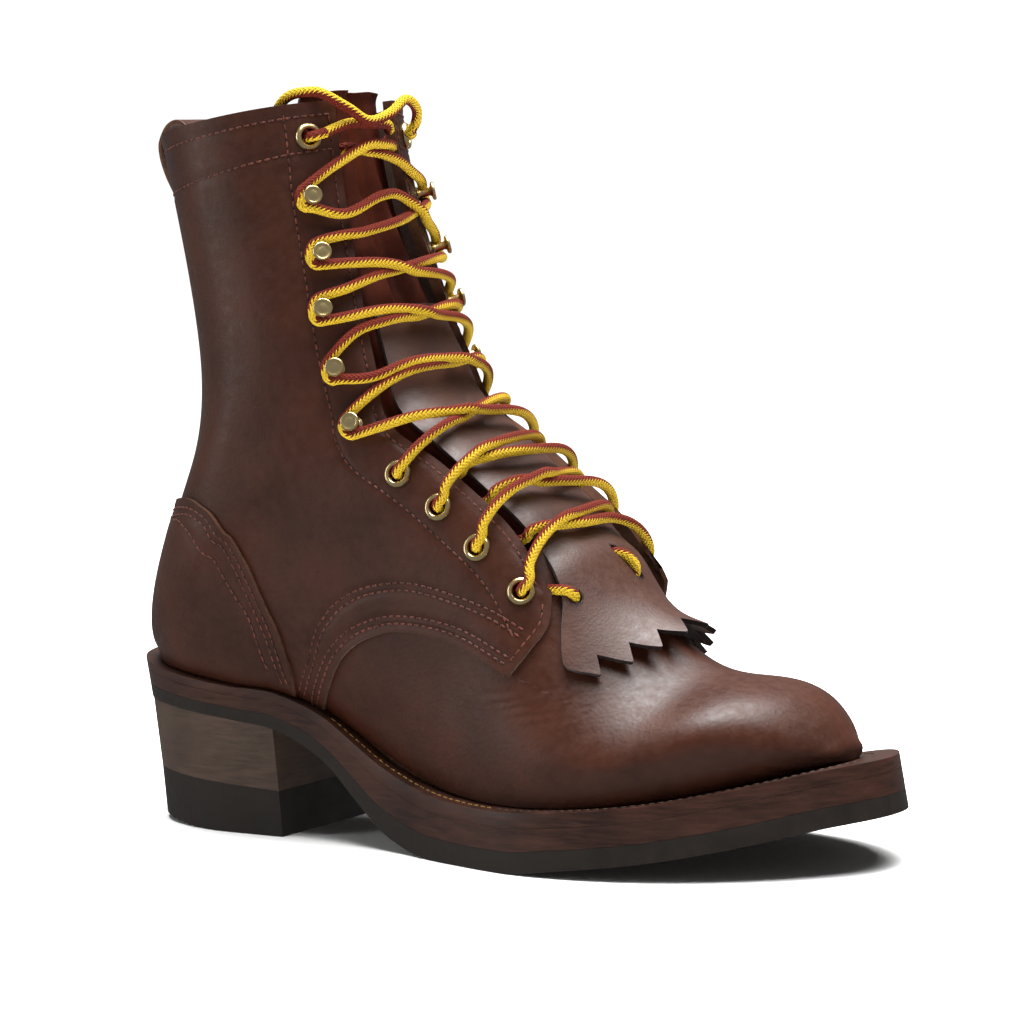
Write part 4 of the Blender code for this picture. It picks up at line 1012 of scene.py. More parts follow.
def beside(places, shares, side, distance):
    """A line on the last moved sideways by a distance: positive to the left of its way, seen from outside."""
    places, shares = np.array(places, float), np.array(shares, float)
    steps = max(int(abs(distance) / SIDE_STEP), 1)
    near = 0.002
    for _ in range(steps):
        here = on_last(places, shares, side)
        out = unit(on_last(places, shares, side, 1.0) - here)
        way = unit(np.cross(out, np.gradient(here, axis=0))) * distance / steps
        by_place = (on_last(places + near, shares, side) - on_last(places - near, shares, side)) / (2 * near)
        by_share = (on_last(places, shares + near, side) - on_last(places, shares - near, side)) / (2 * near)
        pairs = ((by_place, by_place), (by_place, by_share), (by_share, by_share))
        aa, ab, bb = (np.sum(p * q, -1) for p, q in pairs)
        u, v = np.sum(by_place * way, -1), np.sum(by_share * way, -1)
        det = np.maximum(aa * bb - ab * ab, 1e-6)
        places = places + (u * bb - v * ab) / det
        shares = np.clip(shares + (v * aa - u * ab) / det, 0, 1)
    return places, shares


print("quarter's lower edge: place %.2f to %.2f" % tuple(quarter_edge([TIP_GRID, 1.0])[0]))

# %% Lines of stitches
# Share down the section, section place, of the rows above the vamp, which follow no edge
UPPER_ROW = [
    (0.432, 8.15), (0.445, 8.6), (0.467, 9.1), (0.512, 9.95), (0.588, 10.65), (0.662, 11.0), (0.75, 11.1),
    (0.86, 11.0), (0.985, 10.95),
]
# Section place, share down the section, of the counter's third row and of its upper edge
COUNTER_LOW_ROW = [
    (11.56, 0.925), (12.3, 0.79), (13.0, 0.72), (13.7, 0.665), (14.4, 0.62), (15.0, 0.603), (15.5, 0.61),
    (16.0, 0.64), (16.6, 0.715), (16.95, 0.81), (17.1, 0.94),
]
COUNTER_EDGE = [
    (11.00, 1.000), (11.10, 0.950), (11.40, 0.872), (11.70, 0.812), (12.20, 0.742), (13.00, 0.653),
    (13.80, 0.595), (14.50, 0.555), (15.10, 0.539), (15.65, 0.553), (16.10, 0.586), (16.45, 0.622),
    (16.90, 0.700), (17.25, 0.800), (17.45, 0.880), (17.55, 0.940),
]
COUNTER_TOP = 1.6
SEAM_POINTS = 400
CALM_PASSES = 600
# Rows beside the throat: distance from its edge, section place where the row starts
THROAT_ROWS = [(3.2, 8.4), (20.5, 8.3)]
THROAT_SEWN = (8.3, 21.8)
# Rows beside other edges and lines: their distances, and the stretch that is sewn
TAB_ROWS = [3.0]
TAB_SEWN = (THROAT_GRID + 0.03, TIP_GRID - 0.03)
LOWER_ROWS = [3.0, 5.6]
LOWER_SEWN = (TIP_GRID + 0.01, 1.0)
UPPER_ROWS = [-1.2, 1.4]
UPPER_SEWN = (0.434, 0.98)
COUNTER_EDGE_ROWS = [-2.4, -5.0]
# Rows under the collar: section places at the front and at the back, start behind the throat, last share
COLLAR_ROWS = [(21.72, 21.8), (21.0, 21.3)]
COLLAR_ROWS_START = 2.5
COLLAR_ROWS_END = 0.965


def calmed(values):
    """Values along a line with their small wobbles averaged out; the ends stay."""
    values = np.array(values)
    for _ in range(CALM_PASSES):
        values[1:-1] += (values[:-2] + values[2:] - 2 * values[1:-1]) / 4
    return values


def seam_lines(side):
    """Every line of stitches on one side: section places, shares and the offset of its leather."""
    lines = []
    down = np.linspace(*THROAT_SEWN, SEAM_POINTS)
    for distance, start in THROAT_ROWS:
        places = down[down >= start]
        lines.append((places, arc_share(places, side, throat_arc(places, side) + distance), 0.0))
    shares = np.linspace(*UPPER_SEWN, SEAM_POINTS)
    followed = [
        (quarter_edge(np.linspace(*TAB_SEWN, SEAM_POINTS)), TAB_ROWS),
        (quarter_edge(np.linspace(*LOWER_SEWN, SEAM_POINTS)), LOWER_ROWS),
        ((read(UPPER_ROW, 1, shares), shares), UPPER_ROWS),
    ]
    for line, distances in followed:
        for distance in distances:
            lines.append((*beside(*line, side, distance * side), 0.0))
    around = np.linspace(0.0, 1.0, SEAM_POINTS)
    for front, rear in COLLAR_ROWS:
        places = front + (rear - front) * around
        start = throat_share(places, side) + arc_share(places, side, COLLAR_ROWS_START)
        lines.append((places, start + (COLLAR_ROWS_END - start) * around, 0.0))
    edge = COUNTER_EDGE[1:]
    places = np.linspace(edge[0][0], edge[-1][0], SEAM_POINTS)
    counter = places, np.minimum(read(edge, 1, places), 1.0)
    for distance in COUNTER_EDGE_ROWS:
        lines.append((*(calmed(row) for row in beside(*counter, side, distance * side)), COUNTER_TOP))
    low = np.linspace(COUNTER_LOW_ROW[0][0], COUNTER_LOW_ROW[-1][0], SEAM_POINTS)
    lines.append((low, read(COUNTER_LOW_ROW, 1, low), COUNTER_TOP))
    return lines


SEAMS = {side: seam_lines(side) for side, _ in SIDES}
print("lines of stitches a side:", len(SEAMS[-1]))

# %% Leather drawn in along the stitches
SEAM_DEPTH = 0.4
SEAM_WIDTH = 1.1
SEAM_STEP = 0.5


def even_line(points, normals, pitch):
    """A line's points, ways and normals, every pitch along it."""
    run = along_line(points)
    even = np.arange(pitch / 2, run[-1], pitch)
    spots = at_runs(even, run, points)
    return spots, unit(np.gradient(spots, axis=0)), unit(at_runs(even, run, normals))


def seam_tree(offset_wanted):
    """All seam points of the leather with this offset, to measure distances to."""
    spots = []
    for side, lines in SEAMS.items():
        for places, shares, offset in lines:
            if offset == offset_wanted:
                points = on_last(places, shares, side, quarter_outside(places) + offset)
                spots.append(even_line(points, points, SEAM_STEP)[0])
    return search_tree(np.concatenate(spots))


def seam_dent(points, tree):
    """How far the leather is pulled in beside a seam."""
    distance = np.array([tree.find(point)[2] for point in points])
    return SEAM_DEPTH * np.exp(-(distance / SEAM_WIDTH) ** 2)


# %% [markdown]
# The vamp covers toe and ball and runs back under the quarters. Between the tab and the kiltie the leather
# has fine slanting wrinkles, and it is pulled into low folds where it is drawn in over the welt at the toe.
# Each line is placed on the last with a depth and a width, and lowers the mesh with a slight swell
# beside it.

# %% Wrinkles of the vamp
# Section place and arc of both ends, bow of the line in places, depth, half width
FOLDS = [
    (8.5, -84, 7.6, -47, 0.05, 0.16, 1.0), (8.4, -84, 7.62, -54, 0.04, 0.12, 0.9),
    (8.3, -82, 7.4, -45, 0.06, 0.16, 1.0), (8.2, -80, 7.46, -53, 0.03, 0.13, 0.9),
    (8.1, -79, 7.2, -42, 0.05, 0.16, 1.0), (7.95, -77, 7.3, -51, 0.04, 0.12, 0.9),
    (7.8, -74, 6.9, -40, 0.05, 0.15, 1.0), (7.65, -72, 7.0, -48, 0.03, 0.11, 0.9),
    (7.5, -70, 6.6, -36, 0.04, 0.10, 1.0),
    (8.4, 82, 7.4, 46, 0.05, 0.20, 1.0), (8.2, 80, 7.2, 44, 0.04, 0.18, 0.9),
    (8.0, 77, 7.0, 42, 0.05, 0.20, 1.0), (7.8, 74, 6.8, 40, 0.03, 0.16, 1.0),
    (7.6, 71, 6.6, 37, 0.04, 0.14, 1.0),
    (5.0, -58, 1.2, -15, 0.02, 0.22, 1.0), (4.2, -47, 2.2, -26, 0.03, 0.20, 0.9),
    (3.0, -37, 0.9, -13, 0.01, 0.22, 0.8),
    (4.8, 54, 1.2, 16, 0.02, 0.22, 1.0), (3.6, 42, 1.6, 21, 0.02, 0.20, 0.9),
]
FOLD_POINTS = 60
FOLD_STRENGTH = 0.7
FADE_POWER = 1.5
# Height of the swell in depths of its fold, and how many half widths away it lies
FOLD_SWELL = 0.5
SWELL_AWAY = 1.8
# How many half widths a fold is felt
FOLD_REACH = 4


def fold_relief(points):
    """Depth of all wrinkles at the points, and the swell beside each of them."""
    relief = np.zeros(len(points))
    for place_a, arc_a, place_b, arc_b, bow, depth, width in FOLDS:
        t = np.linspace(0, 1, FOLD_POINTS)
        places = place_a + (place_b - place_a) * t + bow * np.sin(3 * np.pi * t)
        line = by_arc(places, arc_a + (arc_b - arc_a) * t, np.zeros_like(t))
        middle = line.mean(axis=0)
        reach = np.linalg.norm(line - middle, axis=1).max() + FOLD_REACH * width
        chosen = np.linalg.norm(points - middle, axis=1) < reach
        gaps = np.linalg.norm(points[chosen][:, None] - line[None], axis=2)
        near = gaps.min(axis=1)
        fade = np.sin(np.pi * t[gaps.argmin(axis=1)]).clip(0) ** FADE_POWER
        swell = FOLD_SWELL * np.exp(-((near - SWELL_AWAY * width) / width) ** 2)
        relief[chosen] += FOLD_STRENGTH * fade * depth * (swell - np.exp(-(near / width) ** 2))
    return relief


# %% Vamp
VAMP_GRID = (210, 200)
VAMP_LAP = 0.5
# Section places over which the wrinkles set in behind the tip of the toe
WRINKLES_FROM = (0.5, 1.2)


def vamp_place(a, b, level):
    side = np.where(b < 0.5, -1, 1)
    grid_share = np.abs(2 * b - 1)
    edge_place, edge_share = quarter_edge(np.maximum(grid_share, THROAT_GRID))
    edge_share = edge_share * np.minimum(grid_share / THROAT_GRID, 1.0)
    places = (edge_place + VAMP_LAP) * a
    shares = grid_share + (edge_share - grid_share) * a**2
    relief = fold_relief(on_last(places, shares, side)) * ease(places, *WRINKLES_FROM)
    return above_welt(on_last(places, shares, side, wall_outside(places) + relief - WALL * (1 - level)))


piece("vamp", leather_sheet(*VAMP_GRID, vamp_place), HIDE, ["upper"])

# %% [markdown]
# Each quarter is one sheet from the tab to the collar. The grid starts on the front edge and opens out to
# even columns, so that its own edges are the real cut edges. The eyelets' holes are left out of it, and the
# leather dips a little along every line of stitches.

# %% Quarters
QUARTER_GRID = (186, 150)
# Shares of the grid over which its columns even out, and over which it thickens behind its lap on the vamp
COLUMNS_EVEN = (0.0, 0.42)
LAP_ENDS = (0.05, 0.10)
QUARTER_SEAMS = seam_tree(0.0)
HOLE_UNDER_RING = 3.5


def quarter_rows(a, b, side):
    """Section place and share of a point of a quarter's grid."""
    grid_share = THROAT_GRID + (1 - THROAT_GRID) * b
    edge_place, edge_share = quarter_edge(grid_share)
    places = edge_place + (COLLAR - edge_place) * a
    throat = throat_share(places, side)
    even = throat + (1 - throat) * b
    start = np.where(b < 1e-6, throat, edge_share)
    return places, start + (even - start) * ease(a, *COLUMNS_EVEN)


def build_quarter(side, label):
    """One quarter, with holes where its eyelets sit."""
    holes = [by_arc(section, side * arc, 0.0) for kind, section, arc in FASTENINGS if kind == "eyelet"]

    def eyelet_holes(a, b):
        points = on_last(*quarter_rows(a, b, side), side)
        return np.min([np.linalg.norm(points - hole, axis=1) for hole in holes], axis=0) < HOLE_UNDER_RING

    def place(a, b, level):
        places, shares = quarter_rows(a, b, side)
        outer = quarter_outside(places)
        lap = wall_outside(places) + LAYER_GAP
        inner = lap + (wall_outside(places) - WALL - lap) * ease(a, *LAP_ENDS)
        points = on_last(places, shares, side, np.where(level > 0.5, outer, inner))
        dent = seam_dent(points, QUARTER_SEAMS) * (level > 0.5)
        stand = flare(places, side * shares / arc_share(places, side, 1.0))
        return above_welt(on_last(places, shares, side, np.where(level > 0.5, outer - dent, inner) + stand))

    sheet = leather_sheet(*QUARTER_GRID, place, eyelet_holes)
    round_edges(piece(f"quarter_{label}", sheet, HIDE, ["upper"]), width=0.35)


for side, label in SIDES:
    build_quarter(side, label)

# %% [markdown]
# The counter is a second layer round the heel, sewn down with two rows along its upper edge and a third lower
# down. Its two halves are one grid that is open under the heel and welded up the back.

# %% Counter
COUNTER_ROWS = 110
COUNTER_COLUMNS = 48
COUNTER_SEAMS = seam_tree(COUNTER_TOP)


def counter_spot(a, b):
    """Section place, side and share of a point of the counter's grid."""
    first, last = COUNTER_EDGE[0][0], COUNTER_EDGE[-1][0]
    places = first + (last - first) * length_share(a)
    top = np.minimum(read(COUNTER_EDGE, 1, places), 1.0)
    side = np.where(b < 0.5, -1, 1)
    half = COUNTER_COLUMNS / (2 * COUNTER_COLUMNS + 1)
    down = np.where(side < 0, b, 1 - b) / half
    return places, side, 1 - (1 - top) * np.clip(down, 0, 1)


def counter_place(a, b, level):
    places, side, shares = counter_spot(a, b)
    offset = quarter_outside(places) + LAYER_GAP + (COUNTER_TOP - LAYER_GAP) * level
    points = on_last(places, shares, side, offset)
    dent = seam_dent(points, COUNTER_SEAMS) * (level > 0.5)
    return above_welt(on_last(places, shares, side, offset - dent))


def counter_gap(a, b):
    return np.abs(b - 0.5) < 0.5 / (2 * COUNTER_COLUMNS + 1)


def counter_seam(vertices):
    """Pairs of vertices on the two back edges, joined above the heel seat."""
    ends = {}
    for vertex in vertices:
        if min(vertex.co.y, 1 - vertex.co.y) < 1e-6:
            ends.setdefault(round(vertex.co.x, 5), []).append(vertex)
    return {both[0]: both[1] for a, both in ends.items()
            if counter_spot(np.array([a]), np.array([0.0]))[0][0] > HEEL_TOP - 1.0 and len(both) == 2}


counter_sheet = leather_sheet(COUNTER_ROWS, 2 * COUNTER_COLUMNS + 1, counter_place, counter_gap, counter_seam)
round_edges(piece("heel_counter", counter_sheet, HIDE, ["counter_cover"]), width=0.35)

# %% [markdown]
# The back seam is covered by a narrow strip, and at the collar a strap is folded over into a loop to pull the
# boot on by. Both are short sheets: one follows the last, the other follows its own folded line.

# %% Back strip and pull loop
STRAP_GRID = (90, 20)
BACKSTAY_HALF = 8.0
BACKSTAY_TOP = 1.4
BACKSTAY_SEAT = 0.1
# Section places that the strip reaches under the counter, and half of what it stops short of the collar
BACKSTAY_LAP = 0.1
# Distance off the back seam, height over the collar's back
PULL_LOOP = [(2.0, -30.0), (4.8, -22.0), (8.4, -11.0), (8.6, -2.0), (4.6, 5.2), (-1.2, 6.4), (-5.8, 0.6),
             (-7.0, -10.0), (-7.2, -20.0)]
LOOP_CLEARANCE = 1.2
LOOP_WIDTH = 17.0
LOOP_LEATHER = 1.6


def backstay_place(a, b, level):
    counter_end = COUNTER_EDGE[-1][0]
    places = counter_end - BACKSTAY_LAP + (COLLAR - BACKSTAY_LAP - counter_end) * a
    side = np.where(b < 0.5, -1, 1)
    shares = 1 - arc_share(places, side, BACKSTAY_HALF) * np.abs(2 * b - 1)
    return on_last(places, shares, side, BACKSTAY_SEAT + (BACKSTAY_TOP - BACKSTAY_SEAT) * level)


def loop_place(a, b, level):
    rear, below = SHAFT_SECTIONS[-1], SHAFT_SECTIONS[-2]
    lean = (below[2] - rear[2]) / (below[3] - rear[3])
    path = np.array(PULL_LOOP)
    count = np.arange(len(path))
    at = a * (len(path) - 1)
    near = 0.05
    ahead = smooth(count, path, at + near) - smooth(count, path, at - near)
    normal = unit(np.stack([-ahead[:, 1], ahead[:, 0]], -1))
    out, rise = (smooth(count, path, at) - normal * LOOP_LEATHER * level[:, None]).T
    y = (b - 0.5) * LOOP_WIDTH
    x = rear[2] + lean * np.minimum(rise, 0.0) - out - LOOP_CLEARANCE + y**2 / (2 * rear[4])
    return np.stack([x, y, rear[3] + rise], -1)


strip = piece("back_strip", leather_sheet(*STRAP_GRID, backstay_place), [LEATHER, SUEDE, DARK_EDGE_AND_HOLE_SHADE],
              ["backstay"])
loop = piece("pull_loop_strap", leather_sheet(*STRAP_GRID, loop_place), HIDE, ["pull_loop"])
for strap in (strip, loop):
    round_edges(strap, width=0.3)

# %% [markdown]
# The tongue lies under the quarters, soft and redder than the rest. It sinks where the lace passes under the
# quarters' edges, folds slightly along its middle and curls over the collar.

# %% Tongue
TONGUE_GRID = (150, 70)
TONGUE_START = 7.6
TONGUE_LAP = 10.0
TONGUE_TOP = -4.1
TONGUE_THICK = 2.2
# Share of the grid where the tongue leaves the collar, and how far it then rises and leans out
TONGUE_TURN = 0.965
TONGUE_RISE = 4.0
TONGUE_LEAN = 1.5
# Depth to which the lace presses it down, and distances from the quarter's edge where that starts and ends
PRESS_DEPTH = 3.4
PRESS_FROM = 7.0
PRESS_TO = 1.0
# Lengthwise fold: its depth, the arcs where it goes down and comes up, the section places where it starts
FOLD_DEPTH = 7.0
FOLD_DOWN = (-5.0, 1.5)
FOLD_UP = (9.0, 15.0)
FOLD_FROM = (15.5, 17.5)


def tongue_place(a, b, level):
    climb = np.clip((a - TONGUE_TURN) / (1 - TONGUE_TURN), 0, 1)
    places = TONGUE_START + (COLLAR - TONGUE_START) * np.minimum(a / TONGUE_TURN, 1.0)
    side = np.where(b < 0.5, -1, 1)
    edge = throat_arc(np.maximum(places, THROAT[0][0]), side)
    arc = (edge + TONGUE_LAP) * np.abs(2 * b - 1)
    press = PRESS_DEPTH * ease(arc, edge - PRESS_FROM, edge - PRESS_TO)
    across = ease(arc * side, *FOLD_DOWN) * (1 - ease(arc * side, *FOLD_UP))
    fold = FOLD_DEPTH * across * ease(places, *FOLD_FROM)
    offset = wall_outside(places) + TONGUE_TOP - press - fold - TONGUE_THICK * (1 - level)
    points = on_last(places, arc_share(places, side, arc), side, offset)
    points[:, 2] += TONGUE_RISE * climb
    points[:, 0] += TONGUE_LEAN * climb**2
    return points


tongue = piece("tongue_sheet", leather_sheet(*TONGUE_GRID, tongue_place), [TONGUE_LEATHER, SUEDE, CUT_EDGE],
               ["tongue"])
round_edges(tongue, width=0.4)

# %% [markdown]
# The kiltie is a flap of leather laced in front of the tongue. Its front end is cut into saw teeth that have
# curled up off the vamp, most of all past the middle. The teeth are a formula, a zigzag along the front edge.

# %% Kiltie
# Section place, half width along the section, distance of its underside off the last
KILTIE_SHAPE = [
    (6.2, 36.0, 1.0), (6.6, 38.0, 0.9), (7.1, 41.0, 0.7), (7.5, 43.0, 0.5), (7.8, 37.0, 0.3),
    (8.05, 30.5, 0.2), (8.35, 28.0, -0.2), (8.7, 26.5, -3.2), (9.2, 26.5, -3.9), (11.0, 27.0, -3.9),
    (13.0, 28.5, -3.9), (15.0, 25.5, -3.9), (17.3, 20.0, -3.9),
]
KILTIE_GRID = (150, 168)
# Packs the grid's rows closer towards the fringe
KILTIE_ROWS_POWER = 1.4
KILTIE_THICK = 1.8
KILTIE_FRONT = 6.6
FRINGE_TEETH = 8
FRINGE_DEPTH = 0.36
FRINGE_SWEEP = 0.55
HOLE_IN_KILTIE = 2.5
# Height of the fringe: at its outer edge, then its rise and its fall, and where across they are
FRINGE_LOW = 0.6
FRINGE_RISE = 7.6
FRINGE_RISES = (0.05, 0.55)
FRINGE_FALL = 5.6
FRINGE_FALLS = (0.6, 0.9)
# Section place where the flap starts to leave the vamp, over how many places it does, and how sharply
CURL_START = 7.9
CURL_SPAN = 1.5
CURL_POWER = 1.2


def kiltie_spot(a, b):
    """Section place and arc of a point of the kiltie's grid."""
    across = 2 * b - 1
    tooth = np.abs((b * FRINGE_TEETH) % 1.0 - 0.5) * 2
    front = KILTIE_FRONT + FRINGE_SWEEP * across**2 + FRINGE_DEPTH * tooth
    places = front + (KILTIE_SHAPE[-1][0] - front) * a**KILTIE_ROWS_POWER
    return places, read(KILTIE_SHAPE, 1, places) * across


def kiltie_place(a, b, level):
    places, arc = kiltie_spot(a, b)
    height = FRINGE_LOW + FRINGE_RISE * ease(b, *FRINGE_RISES) - FRINGE_FALL * ease(b, *FRINGE_FALLS)
    curl = height * ease(CURL_START - places, 0.0, CURL_SPAN) ** CURL_POWER
    return by_arc(places, arc, read(KILTIE_SHAPE, 2, places) + curl + KILTIE_THICK * level)


def kiltie_holes(a, b):
    points = by_arc(*kiltie_spot(a, b), np.zeros_like(a))
    spots = [by_arc(section, arc, 0.0) for section, arc in KILTIE_HOLES]
    return np.min([np.linalg.norm(points - spot, axis=1) for spot in spots], axis=0) < HOLE_IN_KILTIE


kiltie = piece("kiltie_flap", leather_sheet(*KILTIE_GRID, kiltie_place, kiltie_holes),
               [KILTIE_LEATHER, SUEDE, DARK_EDGE_AND_HOLE_SHADE], ["kiltie"])
round_edges(kiltie, width=0.25)

# %% [markdown]
# Stitches are waxed thread: short raised dashes, each followed by a flat dark disc that is painted shade in
# its needle hole. There are well over a thousand, so each is a small ball of few faces, drawn out along the
# seam and pressed into the leather. A bump pattern would be lighter, but would vanish in the outline and at
# the edges.

# %% Thread
def waxed_thread(name, dark, light):
    """Twisted waxed linen thread: satin, with the ply showing as fine diagonal bands."""
    material = start_material(name, Roughness=0.55, Specular_IOR_Level=0.3)
    place = add(material, "ShaderNodeTexCoord").outputs["Object"]
    ply = add(material, "ShaderNodeTexWave",
              {"Vector": place, "Scale": per_mm(4.0), "Distortion": 2.0}).outputs["Fac"]
    dirt = add(material, "ShaderNodeTexNoise", {"Vector": place, "Scale": per_mm(9.0), "Detail": 3.0})
    both = add(material, "ShaderNodeMath", {0: ply, 1: 0.35, 2: dirt.outputs["Fac"]},
               operation="MULTIPLY_ADD")
    spread = add(material, "ShaderNodeMapRange", {0: both.outputs[0], 1: 0.35, 2: 0.9})
    tone = add(material, "ShaderNodeMix", {0: spread.outputs[0], 6: colour(dark), 7: colour(light)},
               data_type="RGBA")
    bump = add(material, "ShaderNodeBump", {"Strength": 0.4, "Distance": 0.0001, "Height": ply})
    return feed(material, Base_Color=tone.outputs[2], Normal=bump.outputs[0])


THREAD = waxed_thread("red_brown_thread", "#30140c", "#643426")
WELT_THREAD = waxed_thread("golden_welt_thread", "#4a2f14", "#9a7032")
# Round the toe the welt thread is a darker copy: painted shade where the row lies close in front of the upper
WELT_THREAD_PAINTED_SHADE = waxed_thread("welt_thread_in_painted_shade", "#1d0f08", "#3a2314")
print("threads:", THREAD.name, WELT_THREAD.name, WELT_THREAD_PAINTED_SHADE.name)


# %% Sewing a line
# Height of a thread in its widths
THREAD_HEIGHT = 0.75
# Painted shade of a needle hole, a flat dark disc: shift along in stitch lengths, size in thread widths,
# thickness, and drop under the thread
HOLE_SHIFT = 0.62
HOLE_SIZE = 0.9
HOLE_THICK = 0.25
HOLE_DROP = 0.12


def stitch(shape, spot, axes, size, finish):
    """One ball of few faces, drawn out along the seam."""
    matrix = Matrix.Translation(metres(spot)) @ Matrix(axes * np.array(size) / 1000).to_4x4()
    made = bmesh.ops.create_uvsphere(shape, u_segments=6, v_segments=4, radius=0.5,
                                     matrix=matrix @ Matrix.Rotation(np.pi / 2, 4, "Y"))["verts"]
    for face in {face for vertex in made for face in vertex.link_faces}:
        face.material_index = finish


def sew(shape, spots, ways, outs, length, width, rise):
    """Adds a line of stitches, each a thread and after it a flat dark disc, painted shade in its needle hole.

    A line is made apart and then added, which is quicker.
    """
    line = bmesh.new()
    for spot, way, out in zip(spots, ways, outs):
        axes = np.column_stack([way, np.cross(out, way), out])
        stitch(line, spot + out * rise, axes, (length, width, THREAD_HEIGHT * width), 0)
        # A flat dark disc at the needle hole: painted shade of the hole
        hole = spot + way * HOLE_SHIFT * length + out * (rise - HOLE_DROP)
        stitch(line, hole, axes, (HOLE_SIZE * width, HOLE_SIZE * width, HOLE_THICK), 1)
    sewn = bpy.data.meshes.new("sewn_line")
    line.to_mesh(sewn)
    line.free()
    shape.from_mesh(sewn)
    bpy.data.meshes.remove(sewn)


# %% Stitches of the upper
STITCH_PITCH = 3.0
# Length and width of a stitch, and height of its middle over the leather
STITCH = (2.3, 0.8, -0.2)
for side, label in SIDES:
    stitches = bmesh.new()
    for places, shares, offset in SEAMS[side]:
        level = quarter_outside(places) + offset
        points = on_last(places, shares, side, level)
        outs = on_last(places, shares, side, level + 1.0) - points
        sew(stitches, *even_line(points, outs, STITCH_PITCH), *STITCH)
    piece(f"stitches_{label}", stitches, [THREAD, DARK_EDGE_AND_HOLE_SHADE])

# %% [markdown]
# The sole is built up in layers: a rubber outsole with a cross-grooved tread, a leather midsole, and the
# welt, a strip that the upper is sewn to. The heel is a stack of leather lifts on a rubber top piece. Each
# layer is a grid between two heights of the same outline, so they stay in line, and a bevel rounds the
# trimmed edges.

# %% Sole materials
def sole_edge_leather(name, dark, light, gloss):
    """Trimmed leather edge, stained and burnished with wax: glossy, with fibres as level streaks."""
    material = start_material(name, IOR=1.48, Specular_IOR_Level=0.33)
    place = add(material, "ShaderNodeTexCoord").outputs["Object"]
    level = add(material, "ShaderNodeMapping", {"Vector": place, "Scale": (1.0, 1.0, 9.0)})
    fibre = add(material, "ShaderNodeTexNoise",
                {"Vector": level.outputs[0], "Scale": per_mm(12), "Detail": 6.0, "Roughness": 0.65})
    streaks = fibre.outputs["Fac"]
    stain = add(material, "ShaderNodeTexNoise", {"Vector": place, "Scale": per_mm(22), "Detail": 3.0})
    both = add(material, "ShaderNodeMath", {0: stain.outputs["Fac"], 1: 0.6, 2: streaks},
               operation="MULTIPLY_ADD")
    spread = add(material, "ShaderNodeMapRange", {0: both.outputs[0], 1: 0.55, 2: 1.05})
    tone = add(material, "ShaderNodeMix", {0: spread.outputs[0], 6: colour(dark), 7: colour(light)},
               data_type="RGBA")
    rough = add(material, "ShaderNodeMapRange", {0: streaks, 1: 0.3, 2: 0.7, 3: gloss, 4: gloss + 0.16})
    bump = add(material, "ShaderNodeBump", {"Strength": 0.3, "Distance": 0.0003, "Height": streaks})
    return feed(material, Base_Color=tone.outputs[2], Roughness=rough.outputs[0], Normal=bump.outputs[0])


def moulded_rubber():
    """Black sole rubber: matt, scuffed to grey in patches."""
    material = start_material("moulded_black_rubber", IOR=1.5, Specular_IOR_Level=0.35)
    place = add(material, "ShaderNodeTexCoord").outputs["Object"]
    scuffs = add(material, "ShaderNodeTexNoise",
                 {"Vector": place, "Scale": per_mm(9), "Detail": 7.0, "Roughness": 0.7}).outputs["Fac"]
    tone = add(material, "ShaderNodeMix", {0: scuffs, 6: colour("#0d0906"), 7: colour("#261b13")},
               data_type="RGBA")
    rough = add(material, "ShaderNodeMapRange", {0: scuffs, 1: 0.3, 2: 0.7, 3: 0.45, 4: 0.7})
    bump = add(material, "ShaderNodeBump", {"Strength": 0.3, "Distance": 0.0003, "Height": scuffs})
    return feed(material, Base_Color=tone.outputs[2], Roughness=rough.outputs[0], Normal=bump.outputs[0])


EDGE = sole_edge_leather("waxed_sole_edge", "#1c0d07", "#3c1e12", 0.34)
STACK = sole_edge_leather("burnished_heel_stack", "#32241c", "#4a382c", 0.38)
RUBBER = moulded_rubber()
INSOLE_LEATHER = oiled_leather("veg_tanned_insole", "#8a5c38", "#b98a5c", gloss=0.68, pore=1.0)
print("sole materials:", EDGE.name, STACK.name, RUBBER.name)

# %% Layers of the sole
TREAD_GRID = (440, 28)
LAYER_GRID = (220, 8)
GROOVE_DEPTH = 2.2
GROOVE_WIDTH = 4.0
# Width over which a groove's side slopes, and distances from the sole's edge over which it runs out
GROOVE_SLOPE = 1.2
GROOVE_ENDS = (7.0, 9.0)
FIRST_GROOVE = -2.0
GROOVE_PITCH = 13.0
GROOVES = [FIRST_GROOVE + GROOVE_PITCH * step for step in range(11)]
WELT_ROUND = 1.3


def sole_span(share, setback, b):
    """Plan points across the sole at shares of its length."""
    edges = [sole_edge(share, side, setback) for side, _ in SIDES]
    ends = (share < 1e-6) | (share > 1 - 1e-6)
    middle = (edges[0] + edges[1]) / 2
    edges = [np.where(ends[:, None], middle, edge) for edge in edges]
    return (edges[0] + (edges[1] - edges[0]) * b[:, None]).T


def sole_layer(low, high, grooves=False):
    """Placing function of one layer of the sole, between two shares of its thickness."""
    def place(a, b, level):
        share = length_share(a)
        height = low + (high - low) * level
        setback = read(TRIM, 1, share) * (1 - height) + read(TRIM, 2, share) * height
        x, y = sole_span(share, setback, b)
        z = underside(x) + (welt_top(x) - underside(x)) * height - LAYER_GAP * (level if high < 1 else 0)
        if grooves:
            edges = np.array([sole_edge(share, side, setback)[:, 1] for side, _ in SIDES])
            inset = np.minimum(b, 1 - b) * np.ptp(edges, axis=0)
            near = np.min([np.abs(x - groove) for groove in GROOVES], axis=0)
            cut = ease((GROOVE_WIDTH + GROOVE_SLOPE) / 2 - near, 0.0, GROOVE_SLOPE)
            cut = cut * ease(inset, *GROOVE_ENDS)
            z = z + GROOVE_DEPTH * cut * (level < 0.5)
        return np.stack([x, y, z], -1)
    return place


